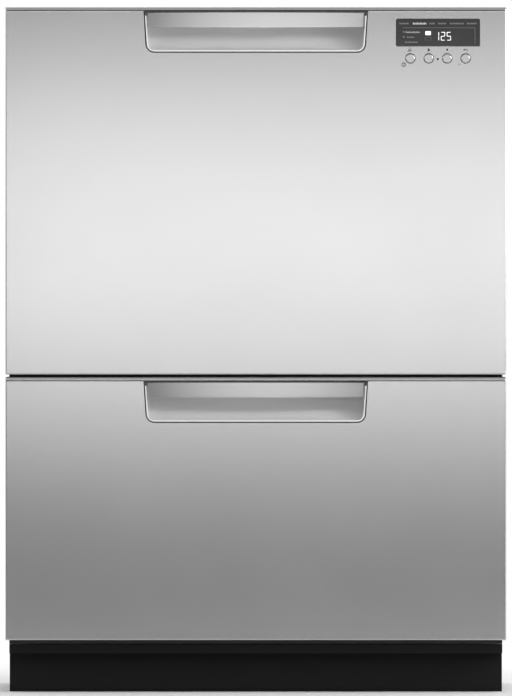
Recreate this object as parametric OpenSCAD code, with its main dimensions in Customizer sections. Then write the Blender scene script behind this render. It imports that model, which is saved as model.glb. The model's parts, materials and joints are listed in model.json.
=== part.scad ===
// A built-in double dishwasher drawer: a steel chassis with two full-width wash drawers, one above the other.
// Millimetres. X runs across the front, Y from the front (-Y) to the back (+Y), and Z up from the floor.
// The origin is on the floor, under the middle of the whole machine.

/* [Overall] */
// Width across the drawer fronts
overall_w = 599; // [590:1:620]
// Depth from the bow of the handle bars to the heads of the rear screws
overall_d = 573; // [565:1:600]
// Height from the floor to the top of the upper front
overall_h = 820; // [815:1:880]

/* [Drawer fronts] */
// Height of the space below the lower front, where the kickboard shows
kick_h = 62.5; // [60:0.5:75]
// Height of the lower drawer front
lower_front_h = 315; // [310:1:330]
// Gap between the two drawer fronts
front_gap = 2.5; // [2:0.5:5]
// Distance that each front reaches past the chassis at the sides
front_overhang = 4.5; // [3:0.5:5]
// Depth of the folded steel front
front_t = 20; // [18:1:22]
// Thickness of the front's steel skin
skin_t = 1; // [0.8:0.1:1.2]
// Radius of the rolled top edge of each front
roll_r = 4.2; // [3:0.1:5]
// Radius of the front's other bends
bend_r = 2; // [1.5:0.1:2.5]
// Wall thickness of the moulded liner behind each front
liner_t = 2.5; // [2:0.1:3]
// Depth that the liner's box reaches into the chassis
liner_box_d = 26; // [25:1:30]

/* [Handle] */
// Width of the handle opening at its top
handle_w = 266; // [240:1:290]
// Taper of the handle opening from its top to its bottom, each side
handle_taper = 3; // [1:0.5:6]
// Height of the handle opening
handle_h = 49.5; // [44:0.5:56]
// Distance from the top of the front down to the handle opening
handle_drop = 5; // [4.6:0.2:6]
// Corner radius of the handle opening
handle_r = 10; // [6:1:14]
// Height of the handle bar
bar_h = 19; // [16:0.5:22]
// Thickness of the handle bar
bar_t = 3; // [2.5:0.1:3.5]
// Bow of the handle bar in front of the steel
bar_bow = 4; // [2:0.5:6]
// Wall thickness of the moulded cup behind the handle
cup_wall = 2; // [1.5:0.1:2.5]

/* [Controls] */
// Width of the display window
window_w = 100; // [90:1:104]
// Height of the display window
window_h = 32; // [28:1:34]
// Thickness of the display window
window_t = 2; // [1.5:0.1:2.5]
// Distance from the top of the front to the window
window_drop = 14.8; // [13:0.2:16]
// Distance from the right edge of the front to the window
window_inset = 31.7; // [30:0.1:50]
// Radius of a push button
button_r = 5.5; // [4.5:0.1:6]
// Spacing of the push buttons
button_pitch = 22; // [20:0.5:24]
// Distance from the top of the front to the middle of the buttons
button_drop = 61.9; // [61:0.1:66]
// Distance that a button stands proud of the steel
button_proud = 1.2; // [1.2:0.1:1.8]
// Travel of a button
button_travel = 1; // [0.6:0.1:1.1]

/* [Chassis] */
// Thickness of the chassis sheet steel
sheet_t = 1; // [0.8:0.1:1.5]
// Width of the folded flanges on the sheets
flange_w = 11; // [9:0.5:11]
// Distance from the top of the upper front down to the top panel
top_drop = 3; // [2:0.5:4]
// Thickness of the rubber seal on the chassis front
seal_t = 2.2; // [1.8:0.1:3]
// Depth of the toe space behind the chassis front
toe_d = 35; // [30:1:45]
// Height of the base tray's floor above the floor
tray_z = 14; // [14:0.5:17]
// Wall thickness of the base tray
tray_t = 3; // [2.5:0.1:4]
// Height of the base tray
tray_h = 26; // [20:1:28]
// Thickness of the kickboard
kick_t = 4; // [3:0.5:6]
// Height of the service plate that holds the water fittings
service_h = 46; // [42:1:46]
// Distance from the back of the machine to the service plate
service_d = 44; // [40:1:46]

/* [Feet] */
// Radius of a foot's pad
foot_r = 20; // [16:1:24]
// Height of a foot's pad
foot_pad_h = 8; // [6:0.5:8]
// Radius of a foot's threaded stem
stem_r = 5; // [4:0.5:6]
// Height that a foot can add
foot_travel = 60; // [40:1:62]

/* [Slides] */
// Height of a slide's outer member
rail_h = 46; // [40:1:50]
// Thickness of the slide members' steel
rail_t = 1.5; // [1.2:0.1:1.8]
// Width of a complete slide
slide_w = 13; // [12:0.5:15]
// Gap between the chassis side and a slide
rail_standoff = 11; // [11:0.5:13]
// Distance from the back of the machine to the slides
rail_back_gap = 39.5; // [34:0.5:60]
// Height of the slides above the tub's floor
rail_rise = 60; // [50:1:75]

/* [Tub] */
// Wall thickness of a tub
tub_t = 3; // [2.5:0.1:4]
// Distance from the back of the machine to a tub
tub_back_gap = 41; // [36:0.5:50]
// Radius of a tub's upright corners
tub_r = 34; // [28:1:40]
// Distance from the top of a front down to the tub's rim
rim_drop = 32; // [31:0.5:36]
// Width of the rim's flange outside the tub wall
rim_flange = 5; // [4:0.5:6]
// Height of the lower wash motor above the bottom of its front
lower_tub_rise = 6; // [5.5:0.5:10]
// Height of the upper wash motor above the bottom of its front
upper_tub_rise = 50; // [20:1:60]
// Radius of the sump
sump_r = 97; // [90:1:110]
// Depth of the sump below the tub's floor
sump_d = 14; // [14:0.5:16]

/* [Wash system] */
// Radius of the wash motor
motor_r = 76; // [70:1:80]
// Height of the wash motor
motor_h = 20; // [18:1:22]
// Radius of the impeller
impeller_r = 62; // [50:1:66]
// Radius of the spindle that the impeller turns on
spindle_r = 4; // [3:0.5:5]
// Radius of the spigot that the spray arm turns on
spigot_r = 9; // [8:0.5:11]
// Gap between the spray arm's tip and the nearest tub wall
arm_clear = 22; // [15:1:45]
// Thickness of the spray arm
arm_t = 12; // [10:0.5:13]
// Width of the spray arm at its hub
arm_w = 44; // [36:1:50]

/* [Lid] */
// Distance that a lid lifts off its tub
lid_stroke = 10; // [8:0.5:10]
// Height of the lid's rubber seal
lid_seal_h = 6; // [4:0.5:6.5]
// Thickness of a lid
lid_t = 9.7; // [8:0.1:10]
// Radius of a lid's lift pins
lid_pin_r = 4; // [3:0.5:4.5]

/* [Baskets] */
// Gap between a basket and the side walls of its tub
basket_side_gap = 19; // [15:0.5:27]
// Space in front of a basket, where the dispenser opens
basket_front_gap = 61; // [57:0.5:70]
// Height of the lower basket
lower_basket_h = 104; // [90:1:130]
// Height of the upper basket
upper_basket_h = 140; // [110:1:170]
// Radius of the basket's grid wire
wire_r = 1.9; // [1.6:0.1:2.2]
// Radius of the basket's rim wire
rim_wire_r = 2.6; // [2.2:0.1:3]
// Spacing of the basket's grid wires, about
wire_pitch = 42; // [38:1:60]
// Height of the plate tines
tine_h = 62; // [50:1:75]
// Height of the basket above the tub's floor
basket_rise = 32; // [30:1:38]
// Width of a folding cup rack
cup_rack_w = 92; // [80:1:96]
// Length of a folding cup rack
cup_rack_len = 330; // [300:1:340]
// Width of the cutlery basket
cutlery_w = 66; // [60:1:70]
// Length of the cutlery basket
cutlery_len = 232; // [200:1:240]
// Height of the cutlery basket
cutlery_h = 112; // [90:1:116]

/* [Dispenser] */
// Width of the detergent dispenser
dispenser_w = 156; // [150:1:170]
// Height of the detergent dispenser
dispenser_h = 58; // [52:1:64]
// Depth of the detergent dispenser
dispenser_d = 16; // [15:0.5:18]
// Width of the detergent flap
flap_w = 78; // [70:1:84]
// Height of the detergent flap
flap_h = 32; // [26:1:33]
// Radius of the rinse aid cap
cap_r = 17; // [14:0.5:18]
// Distance from the tub's rim down to the dispenser
dispenser_drop = 42; // [36:1:60]

/* [Hidden] */
$fn = 48;
LOWER = 0;
UPPER = 1;
DRAWERS = [LOWER, UPPER];
slip = 0.3;           // gap between pieces that sit beside each other
running = 0.08;       // radial clearance of a pin that turns in its bore
nest = 0.4;           // clearance between the members of a slide
facets = 32;          // facets of the tub's blended corners

chassis_w = overall_w - 2 * front_overhang;
inside_x = chassis_w / 2 - sheet_t;
front_y = -overall_d / 2 + bar_bow;
chassis_front_y = front_y + front_t + seal_t + slip;
screw_head_h = 2;
back_y = overall_d / 2 - screw_head_h;
chassis_top_z = overall_h - top_drop;
tray_front_y = chassis_front_y + toe_d;

function front_z(d) = d == LOWER ? kick_h : kick_h + lower_front_h + front_gap;
function front_top(d) = d == LOWER ? kick_h + lower_front_h : overall_h;
function motor_z(d) = front_z(d) + (d == LOWER ? lower_tub_rise : upper_tub_rise);
function sump_z(d) = motor_z(d) + motor_h;
function floor_z(d) = sump_z(d) + sump_d;
function inner_z(d) = floor_z(d) + tub_t;
function rim_z(d) = front_top(d) - rim_drop;
function rail_z(d) = floor_z(d) + rail_rise;
function basket_z(d) = inner_z(d) + basket_rise;
function basket_h(d) = d == LOWER ? lower_basket_h : upper_basket_h;

// Slides and tub, from the chassis side inwards
rail_outer_x = inside_x - rail_standoff;
rail_inner_x = rail_outer_x - slide_w;
rail_front_gap = 5;
rail_back_y = back_y - rail_back_gap;
rail_len = rail_back_y - chassis_front_y - rail_front_gap;
tub_x = rail_inner_x;
tub_front_y = front_y + front_t + liner_box_d;
tub_back_y = back_y - tub_back_gap;
tub_mid_y = (tub_front_y + tub_back_y) / 2;
rim_t = 4;

// Seal bars across the chassis front
liner_top_drop = 8;   // from the top of a front down to its liner's box
bar_clear = 1.5;      // from a liner's box up to the seal bar above it
side_bar_w = flange_w;
top_bar_z = overall_h - liner_top_drop + bar_clear;
mid_bar_z = [front_top(LOWER) - liner_top_drop + bar_clear, front_z(UPPER) + 5];
low_bar_z = [kick_h - 4.5, kick_h + 3.5];
brace_w = 28;
brace_t = 1.5;

// Screws
screw_r = 3.6;        // head
shank_r = 2;
shank_len = 5;
hole_r = shank_r + 0.1;
bracket_ys = [-0.38, 0, 0.38];   // rail brackets, in shares of the rail's length
bracket_t = 2.5;
back_screw_x = chassis_w / 2 - flange_w / 2;
back_screw_zs = [110, 290, 520, 700];
swage_zs = [200, 400, 610];
swage_r = 5;
swage_end = 60;       // from a swage's end to the side of the back panel
top_rib_ys = [-110, 40, 190];
top_rib_r = 4;
top_rib_end = 80;
top_flange_end = 12;  // from the side flanges of the top panel to its front and back
top_screw_ys = [chassis_front_y + 45, back_y - 70];
fixing_y = chassis_front_y + 22;  // cabinet fixing holes
fixing_zs = [kick_h + 50, front_z(UPPER) + 330];
fixing_r = 2.6;
bench_x = chassis_w / 2 - 85;
bench_y = chassis_front_y + 16;

// Feet
foot_x = chassis_w / 2 - 30;
foot_ys = [tray_front_y + 30, back_y - 52];
nut_gap = 0.4;
tray_rib_xs = [-140, 0, 140];
controller_low = [-foot_x + 65, -40, tray_z + tray_t];
controller_size = [170, 120, 34];
stem_top_z = tray_z + foot_travel + 12;

// Service plate and fittings
service_y = back_y - service_d;
service_x = [-66, 150];
fitting_z = tray_z + tray_t + 25;
inlet_x = 118;
inlet_r = 13.2;
inlet_len = 12;
drain_x = 40;
drain_r = 9.5;
drain_len = 26;
valve_r = 17;
valve_len = 36;
gland_x = -34;
gland_bore_r = 4.2;
gland_seat_r = 7;

// Lid
lid_bottom_rise = lid_stroke + slip;
lid_x = tub_x + 1;
lid_front_y = tub_front_y + 2;
lid_back_y = tub_back_y + 2;
land_w = 9;                        // width of the ledge that the seal lands on, and of the seal
lid_pin_reach = 10;
lid_pin_spread = 150;
lid_pin_ys = [tub_mid_y - lid_pin_spread, tub_mid_y + lid_pin_spread];
lift_end = 26;                     // reach of a lid lift housing past its pin
lift_low = 16;                     // and below the lowest place of the pin
lift_motor_w = 88;
lift_x = tub_x + rim_flange + 2;  // inner face of the lid lift housings
function lid_z(d) = rim_z(d) + lid_bottom_rise + lid_seal_h;

// Handle
handle_z0 = -handle_drop;          // top of the opening, below the top of the front
cup_top = -liner_top_drop - liner_t - slip;   // top of the cup behind the bar
scoop_r = handle_drop + handle_h - slip + cup_top;   // outside of the cup's round back
scoop_y = front_t + liner_box_d - liner_t - 1 - scoop_r;
lip_w = 1.6;
lip_proud = 0.5;

// Controls
window_x = overall_w / 2 - window_inset - window_w / 2;
button_x0 = window_x - 1.5 * button_pitch;
board_y = 10;
board_t = 1.6;
collar_t = 1.2;
collar_gap = 0.1;

// Wash system
arm_r = min(tub_x, (tub_back_y - tub_front_y) / 2) - tub_t - arm_clear;
nozzle_r = 2.6;
nozzle_count = 5;              // on each half of the arm
nozzle_end = 31;               // from the arm's tip
nozzle_xs = [48, arm_r - nozzle_end];
plate_r = sump_r + 8;
plate_t = 2.5;
hub_r = spigot_r + 7;
arm_gap = 5;
spigot_h = arm_gap + arm_t + 2;

// Basket
basket_w = 2 * (tub_x - tub_t - basket_side_gap);
basket_back_gap = 9;
basket_back_y = tub_back_y - tub_t - basket_back_gap;
basket_front_y = tub_front_y + tub_t + basket_front_gap;
basket_len = basket_back_y - basket_front_y;
basket_mid_y = (basket_front_y + basket_back_y) / 2;
weld = 0.5;                        // depth that crossing wires melt into each other
panel_gap = 0.15;                  // gap between a basket's welded panels
wire_cross = 2 * wire_r - weld;    // between the axes of wires that cross
tine_r = 1.6;
basket_r = 22;                     // corner radius of the basket's rim
basket_foot_x = basket_w / 2 - rim_wire_r - wire_cross - basket_r;  // outermost wire of the floor
tine_pitch = 26;
tine_count = 11;
tine_rows = 5;
eye_share = 0.4;
eye_r = rim_wire_r + 2.4;
eye_w = 9;
cutlery_x = basket_w / 2 - 12 - cutlery_w;
cutlery_t = 1.8;
tine_x0 = -basket_w / 2 + cup_rack_w + 6;    // the rows stand between the cup rack
tine_x1 = cutlery_x - 72;                    // and the cutlery basket
tine_xs = [for (i = [0:tine_rows - 1]) tine_x0 + i * (tine_x1 - tine_x0) / (tine_rows - 1)];

// Dispenser
dispenser_y = tub_front_y + tub_t;
hinge_r = 1.6;
ear_w = 3;
flap_t = 2.5;
cap_t = 7;
cap_pin_r = 6;

// ---------- helpers ----------

// A box from its lowest to its highest corner
module box(low, high) {
    translate(low) cube(high - low);
}

// A profile of [y, z] points, swept across the machine
module along_x(x0, x1) {
    translate([x0, 0, 0]) rotate([90, 0, 90]) linear_extrude(x1 - x0) children();
}

// A profile of [x, z] points, swept from front to back
module along_y(y0, y1) {
    translate([0, y1, 0]) rotate([90, 0, 0]) linear_extrude(y1 - y0) children();
}

module along_z(z0, z1) {
    translate([0, 0, z0]) linear_extrude(z1 - z0) children();
}

module both_sides() {
    children();
    mirror([1, 0, 0]) children();
}

module rounded_square(low, high, r) {
    translate([low[0] + r, low[1]]) square([high[0] - low[0] - 2 * r, high[1] - low[1]]);
    translate([low[0], low[1] + r]) square([high[0] - low[0], high[1] - low[1] - 2 * r]);
    for (x = [low[0] + r, high[0] - r], y = [low[1] + r, high[1] - r])
        translate([x, y]) circle(r);
}

// What a rounded corner takes off a square one; turn 0 is the corner at high x and high y
module corner_waste(corner, r, turn) {
    translate(corner) rotate(turn) difference() {
        translate([-r, -r]) square(r + 1);
        translate([-r, -r]) circle(r);
    }
}

// A round bar between two points that lie along X, Y or Z
module wire(a, b, r) {
    v = b - a;
    tilt = v[0] != 0 ? [0, 90, 0] : v[1] != 0 ? [-90, 0, 0] : [0, 0, 0];
    translate(a) rotate(tilt) cylinder(h = norm(v), r = r, $fn = 24);
}

// A cross-recessed pan head and its shank; the head lies on the plane z = 0 and faces +Z
module screw() {
    difference() {
        union() {
            cylinder(h = screw_head_h, r = screw_r, $fn = 24);
            translate([0, 0, -shank_len]) cylinder(h = shank_len + 1, r = shank_r, $fn = 24);
        }
        for (turn = [0, 90])
            rotate(turn) translate([-2, -0.4, screw_head_h - 0.8]) cube([4, 0.8, 1]);
    }
}

// ---------- chassis ----------

function side_screws() = [
    for (d = DRAWERS, s = bracket_ys) [rail_back_y - rail_len / 2 + s * rail_len, rail_z(d)],
    for (y = top_screw_ys) [y, chassis_top_z - 6]
];

module side_panel() {
    color("silver") difference() {
        union() {
            along_x(inside_x, chassis_w / 2) polygon([
                [tray_front_y, tray_z], [back_y - sheet_t, tray_z],
                [back_y - sheet_t, chassis_top_z], [chassis_front_y, chassis_top_z],
                [chassis_front_y, kick_h], [tray_front_y, kick_h]
            ]);
            box([chassis_w / 2 - flange_w, chassis_front_y, kick_h],
                [chassis_w / 2, chassis_front_y + sheet_t, chassis_top_z]);
            box([chassis_w / 2 - flange_w, back_y - 2 * sheet_t, kick_h + 4],
                [chassis_w / 2, back_y - sheet_t, chassis_top_z]);
        }
        for (p = side_screws())
            translate([inside_x - 1, p[0], p[1]]) rotate([0, 90, 0]) cylinder(h = sheet_t + 2, r = hole_r);
        for (z = fixing_zs)
            translate([inside_x - 1, fixing_y, z]) rotate([0, 90, 0]) cylinder(h = sheet_t + 2, r = fixing_r);
        for (z = back_screw_zs)
            translate([back_screw_x, back_y, z]) rotate([90, 0, 0]) cylinder(h = 2 * sheet_t + 1, r = hole_r);
    }
}

module back_panel() {
    color("silver") difference() {
        union() {
            box([-chassis_w / 2, back_y - sheet_t, kick_h + 4], [chassis_w / 2, back_y, chassis_top_z]);
            // stiffening swages, pressed inwards
            for (z = swage_zs)
                translate([0, back_y - sheet_t, z]) intersection() {
                    rotate([0, 90, 0]) cylinder(h = chassis_w - 2 * swage_end, r = swage_r, center = true);
                    box([-chassis_w / 2, -swage_r - 1, -swage_r - 1], [chassis_w / 2, 0, swage_r + 1]);
                }
        }
        both_sides() for (z = back_screw_zs)
            translate([back_screw_x, back_y + 1, z]) rotate([90, 0, 0]) cylinder(h = sheet_t + 2, r = hole_r);
    }
}

module top_panel() {
    low_z = chassis_top_z - sheet_t;
    in_x = inside_x - sheet_t;
    color("silver") difference() {
        union() {
            box([-inside_x, chassis_front_y + sheet_t, low_z],
                [inside_x, back_y - 2 * sheet_t, chassis_top_z]);
            both_sides() box([in_x, chassis_front_y + top_flange_end, low_z - flange_w],
                [inside_x, back_y - top_flange_end, chassis_top_z]);
            // stiffening ribs on top
            for (y = top_rib_ys)
                translate([0, y, chassis_top_z]) intersection() {
                    rotate([0, 90, 0])
                        cylinder(h = chassis_w - 2 * top_rib_end, r = top_rib_r, center = true);
                    box([-chassis_w / 2, -5, -0.5], [chassis_w / 2, 5, min(top_drop, 2)]);
                }
        }
        both_sides() for (y = top_screw_ys)
            translate([in_x - 1, y, chassis_top_z - 6])
                rotate([0, 90, 0]) cylinder(h = sheet_t + 2, r = hole_r);
        both_sides() translate([bench_x, bench_y, low_z - 1]) cylinder(h = sheet_t + 2, r = fixing_r);
    }
}

module base_tray() {
    half = inside_x - 0.2;
    rear_y = back_y - 2 * sheet_t;
    color("dimgray") difference() {
        union() {
            difference() {
                box([-half, tray_front_y, tray_z], [half, rear_y, tray_z + tray_h]);
                box([-half + tray_t, tray_front_y + tray_t, tray_z + tray_t],
                    [half - tray_t, rear_y - tray_t, tray_z + tray_h + 1]);
                // the back wall is low, so that the hoses can pass
                box([-half + 40, rear_y - tray_t - 1, tray_z + tray_t + 2],
                    [half - 40, rear_y + 1, tray_z + tray_h + 1]);
            }
            for (x = [-foot_x, foot_x], y = foot_ys)
                translate([x, y, tray_z]) cylinder(h = tray_h, r = stem_r + 8);
            // floor ribs
            for (x = tray_rib_xs)
                box([x - 2, tray_front_y + 1, tray_z + 1], [x + 2, -60, tray_z + 14]);
        }
        for (x = [-foot_x, foot_x], y = foot_ys)
            translate([x, y, tray_z - 1]) cylinder(h = tray_h + 2, r = stem_r + running);
    }
}

// Channels that tie the two sides together, under the lower drawer and between the drawers
module cross_braces() {
    half = inside_x;
    front = chassis_front_y + sheet_t;
    rear = front + brace_w;
    t = brace_t;
    color("silver") {
        along_x(-half, half) {
            translate([front, low_bar_z[0]]) square([t, low_bar_z[1] - low_bar_z[0]]);
            translate([front, low_bar_z[0]]) square([rear - front, t]);
            translate([rear - t, low_bar_z[0] - 10]) square([t, 10 + t]);
        }
        along_x(-half, half) {
            translate([front, mid_bar_z[0] + 2]) square([t, mid_bar_z[1] - mid_bar_z[0] - 2]);
            translate([front, mid_bar_z[1] - t]) square([rear - front, t]);
            translate([rear - t, mid_bar_z[1] - t - 8]) square([t, 8 + t]);
        }
    }
}

module kickboard() {
    top = low_bar_z[0] - 0.5;
    color("black") {
        box([-chassis_w / 2, tray_front_y - kick_t, 0.5], [chassis_w / 2, tray_front_y, top]);
    }
}

module opening_seals() {
    y0 = chassis_front_y - seal_t;
    color("black") along_y(y0, chassis_front_y) difference() {
        translate([-chassis_w / 2, low_bar_z[0]])
            square([chassis_w, chassis_top_z - low_bar_z[0]]);
        translate([-chassis_w / 2 + side_bar_w, low_bar_z[1]])
            square([chassis_w - 2 * side_bar_w, mid_bar_z[0] - low_bar_z[1]]);
        translate([-chassis_w / 2 + side_bar_w, mid_bar_z[1]])
            square([chassis_w - 2 * side_bar_w, top_bar_z - mid_bar_z[1]]);
    }
}

module controller_module() {
    low = controller_low;
    size = controller_size;
    color("whitesmoke") {
        difference() {
            union() {
                translate(low) cube(size);
                // mounting feet
                for (x = [-14, size[0]], y = [12, size[1] - 26])
                    translate(low + [x, y, 0]) cube([14, 14, 3]);
            }
            // cooling slots in the cover
            for (i = [0:6])
                translate(low + [20 + 20 * i, 20, size[2] - 2]) cube([5, 80, 3]);
        }
        // plug blocks on the front edge
        for (x = [18, 62, 106])
            translate(low + [x, -8, 6]) cube([30, 8, 16]);
    }
}

// ---------- slides ----------

// Half section of a slide member: a channel between two x positions, web on the side of web_x
module channel(x0, x1, h, web_at_x1) {
    difference() {
        translate([x0, -h / 2]) square([x1 - x0, h]);
        translate([web_at_x1 ? x0 - 1 : x0 + rail_t, -h / 2 + rail_t])
            square([x1 - x0 - rail_t + 1, h - 2 * rail_t]);
    }
}

mid_h = rail_h - 2 * rail_t - 2 * nest;
drawer_rail_h = mid_h - 2 * rail_t - 2 * nest;
rail_mouth_x = rail_inner_x + 2.2;

module chassis_rails() {
    color("lightsteelblue") both_sides() for (d = DRAWERS) {
        translate([0, 0, rail_z(d)]) {
            along_y(rail_back_y - rail_len, rail_back_y)
                channel(rail_mouth_x, rail_outer_x, rail_h, true);
            for (s = bracket_ys) {
                y = rail_back_y - rail_len / 2 + s * rail_len;
                difference() {
                    box([rail_outer_x - rail_t / 2, y - 16, -15], [inside_x, y + 16, 15]);
                    box([rail_outer_x, y - 17, -15 + bracket_t],
                        [inside_x - bracket_t, y + 17, 15 - bracket_t]);
                    translate([inside_x - bracket_t - 1, y, 0]) rotate([0, 90, 0])
                        cylinder(h = bracket_t + 2, r = hole_r);
                }
            }
        }
    }
}

module mid_rails(d) {
    outer = rail_outer_x - rail_t - nest;
    color("gainsboro") both_sides() translate([0, 0, rail_z(d)])
        along_y(rail_back_y - rail_len + 3, rail_back_y - 6)
            channel(rail_mouth_x, outer, mid_h, true);
}

module drawer_rails(d) {
    outer = rail_outer_x - 2 * rail_t - 2 * nest;
    color("gainsboro") both_sides() translate([0, 0, rail_z(d)])
        along_y(tub_front_y + 1, tub_back_y - 2)
            channel(rail_inner_x, outer, drawer_rail_h, false);
}

// ---------- lids ----------

// Housings on the chassis sides, with the slots that carry a lid's pins up and down
module lid_lifts() {
    color("dimgray") both_sides() for (d = DRAWERS) {
        pin_z = lid_z(d) + lid_t / 2;
        low_z = pin_z - lid_stroke - lift_low;
        difference() {
            union() {
                box([lift_x, lid_pin_ys[0] - lift_end, low_z],
                    [inside_x - sheet_t, lid_pin_ys[1] + lift_end, pin_z + lid_pin_r + 1.6]);
                // gear motors, screwed to the side panels
                box([lift_x, tub_mid_y - lift_motor_w / 2, low_z - lift_motor_w / 4],
                    [inside_x, tub_mid_y + lift_motor_w / 2, low_z + 1]);
            }
            for (y = lid_pin_ys)
                translate([lift_x - 1, y, 0]) {
                    r = lid_pin_r + slip;
                    box([0, -r, pin_z - lid_stroke - slip], [lid_pin_reach, r, pin_z + slip]);
                    for (z = [pin_z, pin_z - lid_stroke - slip])
                        translate([0, 0, z]) rotate([0, 90, 0]) cylinder(h = lid_pin_reach, r = r);
                }
        }
    }
}

// The lid panel with its ribs and lift pins, and the rubber seal in the groove under it
module lid(d) {
    z = lid_z(d);
    skin = 3;
    cells_x = 5;
    cells_y = 4;
    rib = 2.5;
    pitch_x = (2 * lid_x - rib) / cells_x;
    pitch_y = (lid_back_y - lid_front_y - rib) / cells_y;
    color("lightgray") difference() {
        union() {
            box([-lid_x, lid_front_y, z], [lid_x, lid_back_y, z + lid_t]);
            both_sides() for (y = lid_pin_ys)
                translate([lid_x - 1, y, z + lid_t / 2]) rotate([0, 90, 0])
                    cylinder(h = lift_x - lid_x + lid_pin_reach - 3, r = lid_pin_r);
        }
        for (i = [0:cells_x - 1], j = [0:cells_y - 1])
            translate([-lid_x + rib + i * pitch_x, lid_front_y + rib + j * pitch_y, z + skin])
                cube([pitch_x - rib, pitch_y - rib, lid_t]);
    }
    color("dimgray") along_z(z - lid_seal_h, z) difference() {
        rounded_square([-lid_x, lid_front_y + 0.5], [lid_x, lid_back_y - 0.5], tub_r);
        rounded_square([-lid_x + land_w, lid_front_y + 0.5 + land_w],
            [lid_x - land_w, lid_back_y - 0.5 - land_w], tub_r - land_w);
    }
}

// ---------- drawer fronts ----------

// The outside of a front as a solid block, or its inside when inset by the skin
module front_block(d, inset) {
    z0 = front_z(d);
    z1 = front_top(d);
    half = overall_w / 2;
    deep = front_t + (inset > 0 ? 1 : 0);
    roll = roll_r - inset;
    bend = bend_r - inset;
    intersection() {
        along_x(-half + inset, half - inset) difference() {
            translate([front_y + inset, z0 + inset])
                square([deep - inset, z1 - z0 - 2 * inset]);
            corner_waste([front_y + inset, z1 - inset], roll, 90);
            corner_waste([front_y + inset, z0 + inset], bend, 180);
        }
        along_z(z0 - 1, z1 + 1) difference() {
            translate([-half + inset, front_y + inset])
                square([2 * half - 2 * inset, deep - inset]);
            corner_waste([-half + inset, front_y + inset], bend, 180);
            corner_waste([half - inset, front_y + inset], bend, 270);
        }
    }
}

// Handle opening, as [x, z] points below the top of the front, inset all round
function handle_half(z) = handle_w / 2 + handle_taper * (z - handle_z0) / handle_h;
function handle_outline(inset) =
    let (top = handle_z0 - inset, bottom = handle_z0 - handle_h + inset, r = handle_r - inset)
    [
        [-handle_half(top) + inset, top],
        for (a = [180:15:270]) [-handle_half(bottom) + inset + r + r * cos(a), bottom + r + r * sin(a)],
        for (a = [270:15:360]) [handle_half(bottom) - inset - r + r * cos(a), bottom + r + r * sin(a)],
        [handle_half(top) - inset, top]
    ];

module front_panel(d) {
    top = front_top(d);
    groove = [handle_drop - 0.6, handle_drop];
    color("silver") difference() {
        front_block(d, 0);
        front_block(d, skin_t);
        along_y(front_y - 1, front_y + skin_t + 4) translate([0, top]) polygon(handle_outline(0));
        // the line under the rolled edge
        box([-overall_w, front_y - 1, top - groove[1]], [overall_w, front_y + skin_t / 2, top - groove[0]]);
        if (d == UPPER) {
            along_y(front_y - 1, front_y + skin_t + 1)
                rounded_square([window_x - window_w / 2 - slip, top - window_drop - window_h - slip],
                    [window_x + window_w / 2 + slip, top - window_drop + slip], 1);
            for (i = [0:3])
                translate([button_x0 + i * button_pitch, front_y - 1, top - button_drop])
                    rotate([-90, 0, 0]) cylinder(h = skin_t + 2, r = button_r + 0.25);
        }
    }
}

// Moulded tray that closes the back of a front, with the box that stands against the tub
module front_liner(d) {
    z0 = front_z(d) + skin_t + slip;
    z1 = front_top(d) - skin_t - slip;
    half = overall_w / 2 - skin_t - slip;
    back = front_y + front_t;
    box_z0 = floor_z(d);
    box_z1 = front_top(d) - liner_top_drop;
    color("lightgray") difference() {
        union() {
            box([-half, back - liner_t, z0], [half, back, z1 - roll_r]);
            box([-tub_x, back - liner_t, box_z0], [tub_x, tub_front_y, box_z1]);
            // upstand that closes the rolled top of the front
            box([-half + 4, back - liner_t, z1 - roll_r - 1], [half - 4, back, z1]);
        }
        box([-tub_x + liner_t, back - liner_t - 1, box_z0 + liner_t],
            [tub_x - liner_t, tub_front_y - liner_t, box_z1 - liner_t]);
    }
}

// Lower edge of the bar, which drops a little towards the middle
function bar_bottom(x, half) = handle_z0 - bar_h - 0.4 + 1.2 * pow(x / half, 2);
function bow(x, half) = -bar_bow * (1 - pow(x / half, 2));

module handle_bar(d) {
    inset = slip + cup_wall + 0.1;
    top = handle_z0 - inset;
    half = handle_half(top) - inset;
    low_half = handle_half(bar_bottom(half, half)) - inset;
    steps = 24;
    xs = [for (i = [0:steps]) -1 + 2 * i / steps];
    color("silver") translate([0, front_y, front_top(d)]) {
        intersection() {
            along_y(-bar_bow - 1, bar_t + 10) polygon([
                [-half, top],
                for (s = xs) [s * low_half, bar_bottom(s * low_half, half)],
                [half, top]
            ]);
            along_z(-handle_h, 0) polygon([
                for (s = xs) [s * half, bow(s * half, half)],
                for (s = [steps:-1:0]) [xs[s] * half, bow(xs[s] * half, half) + bar_t]
            ]);
        }
        // returns that stiffen the bar at its top and bottom
        box([-half + 6, bar_t - bar_bow, top - 2], [half - 6, bar_t + 9, top]);
        box([-half + 6, bar_t - bar_bow, handle_z0 - bar_h], [half - 6, bar_t + 3, handle_z0 - bar_h + 2]);
    }
}

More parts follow.
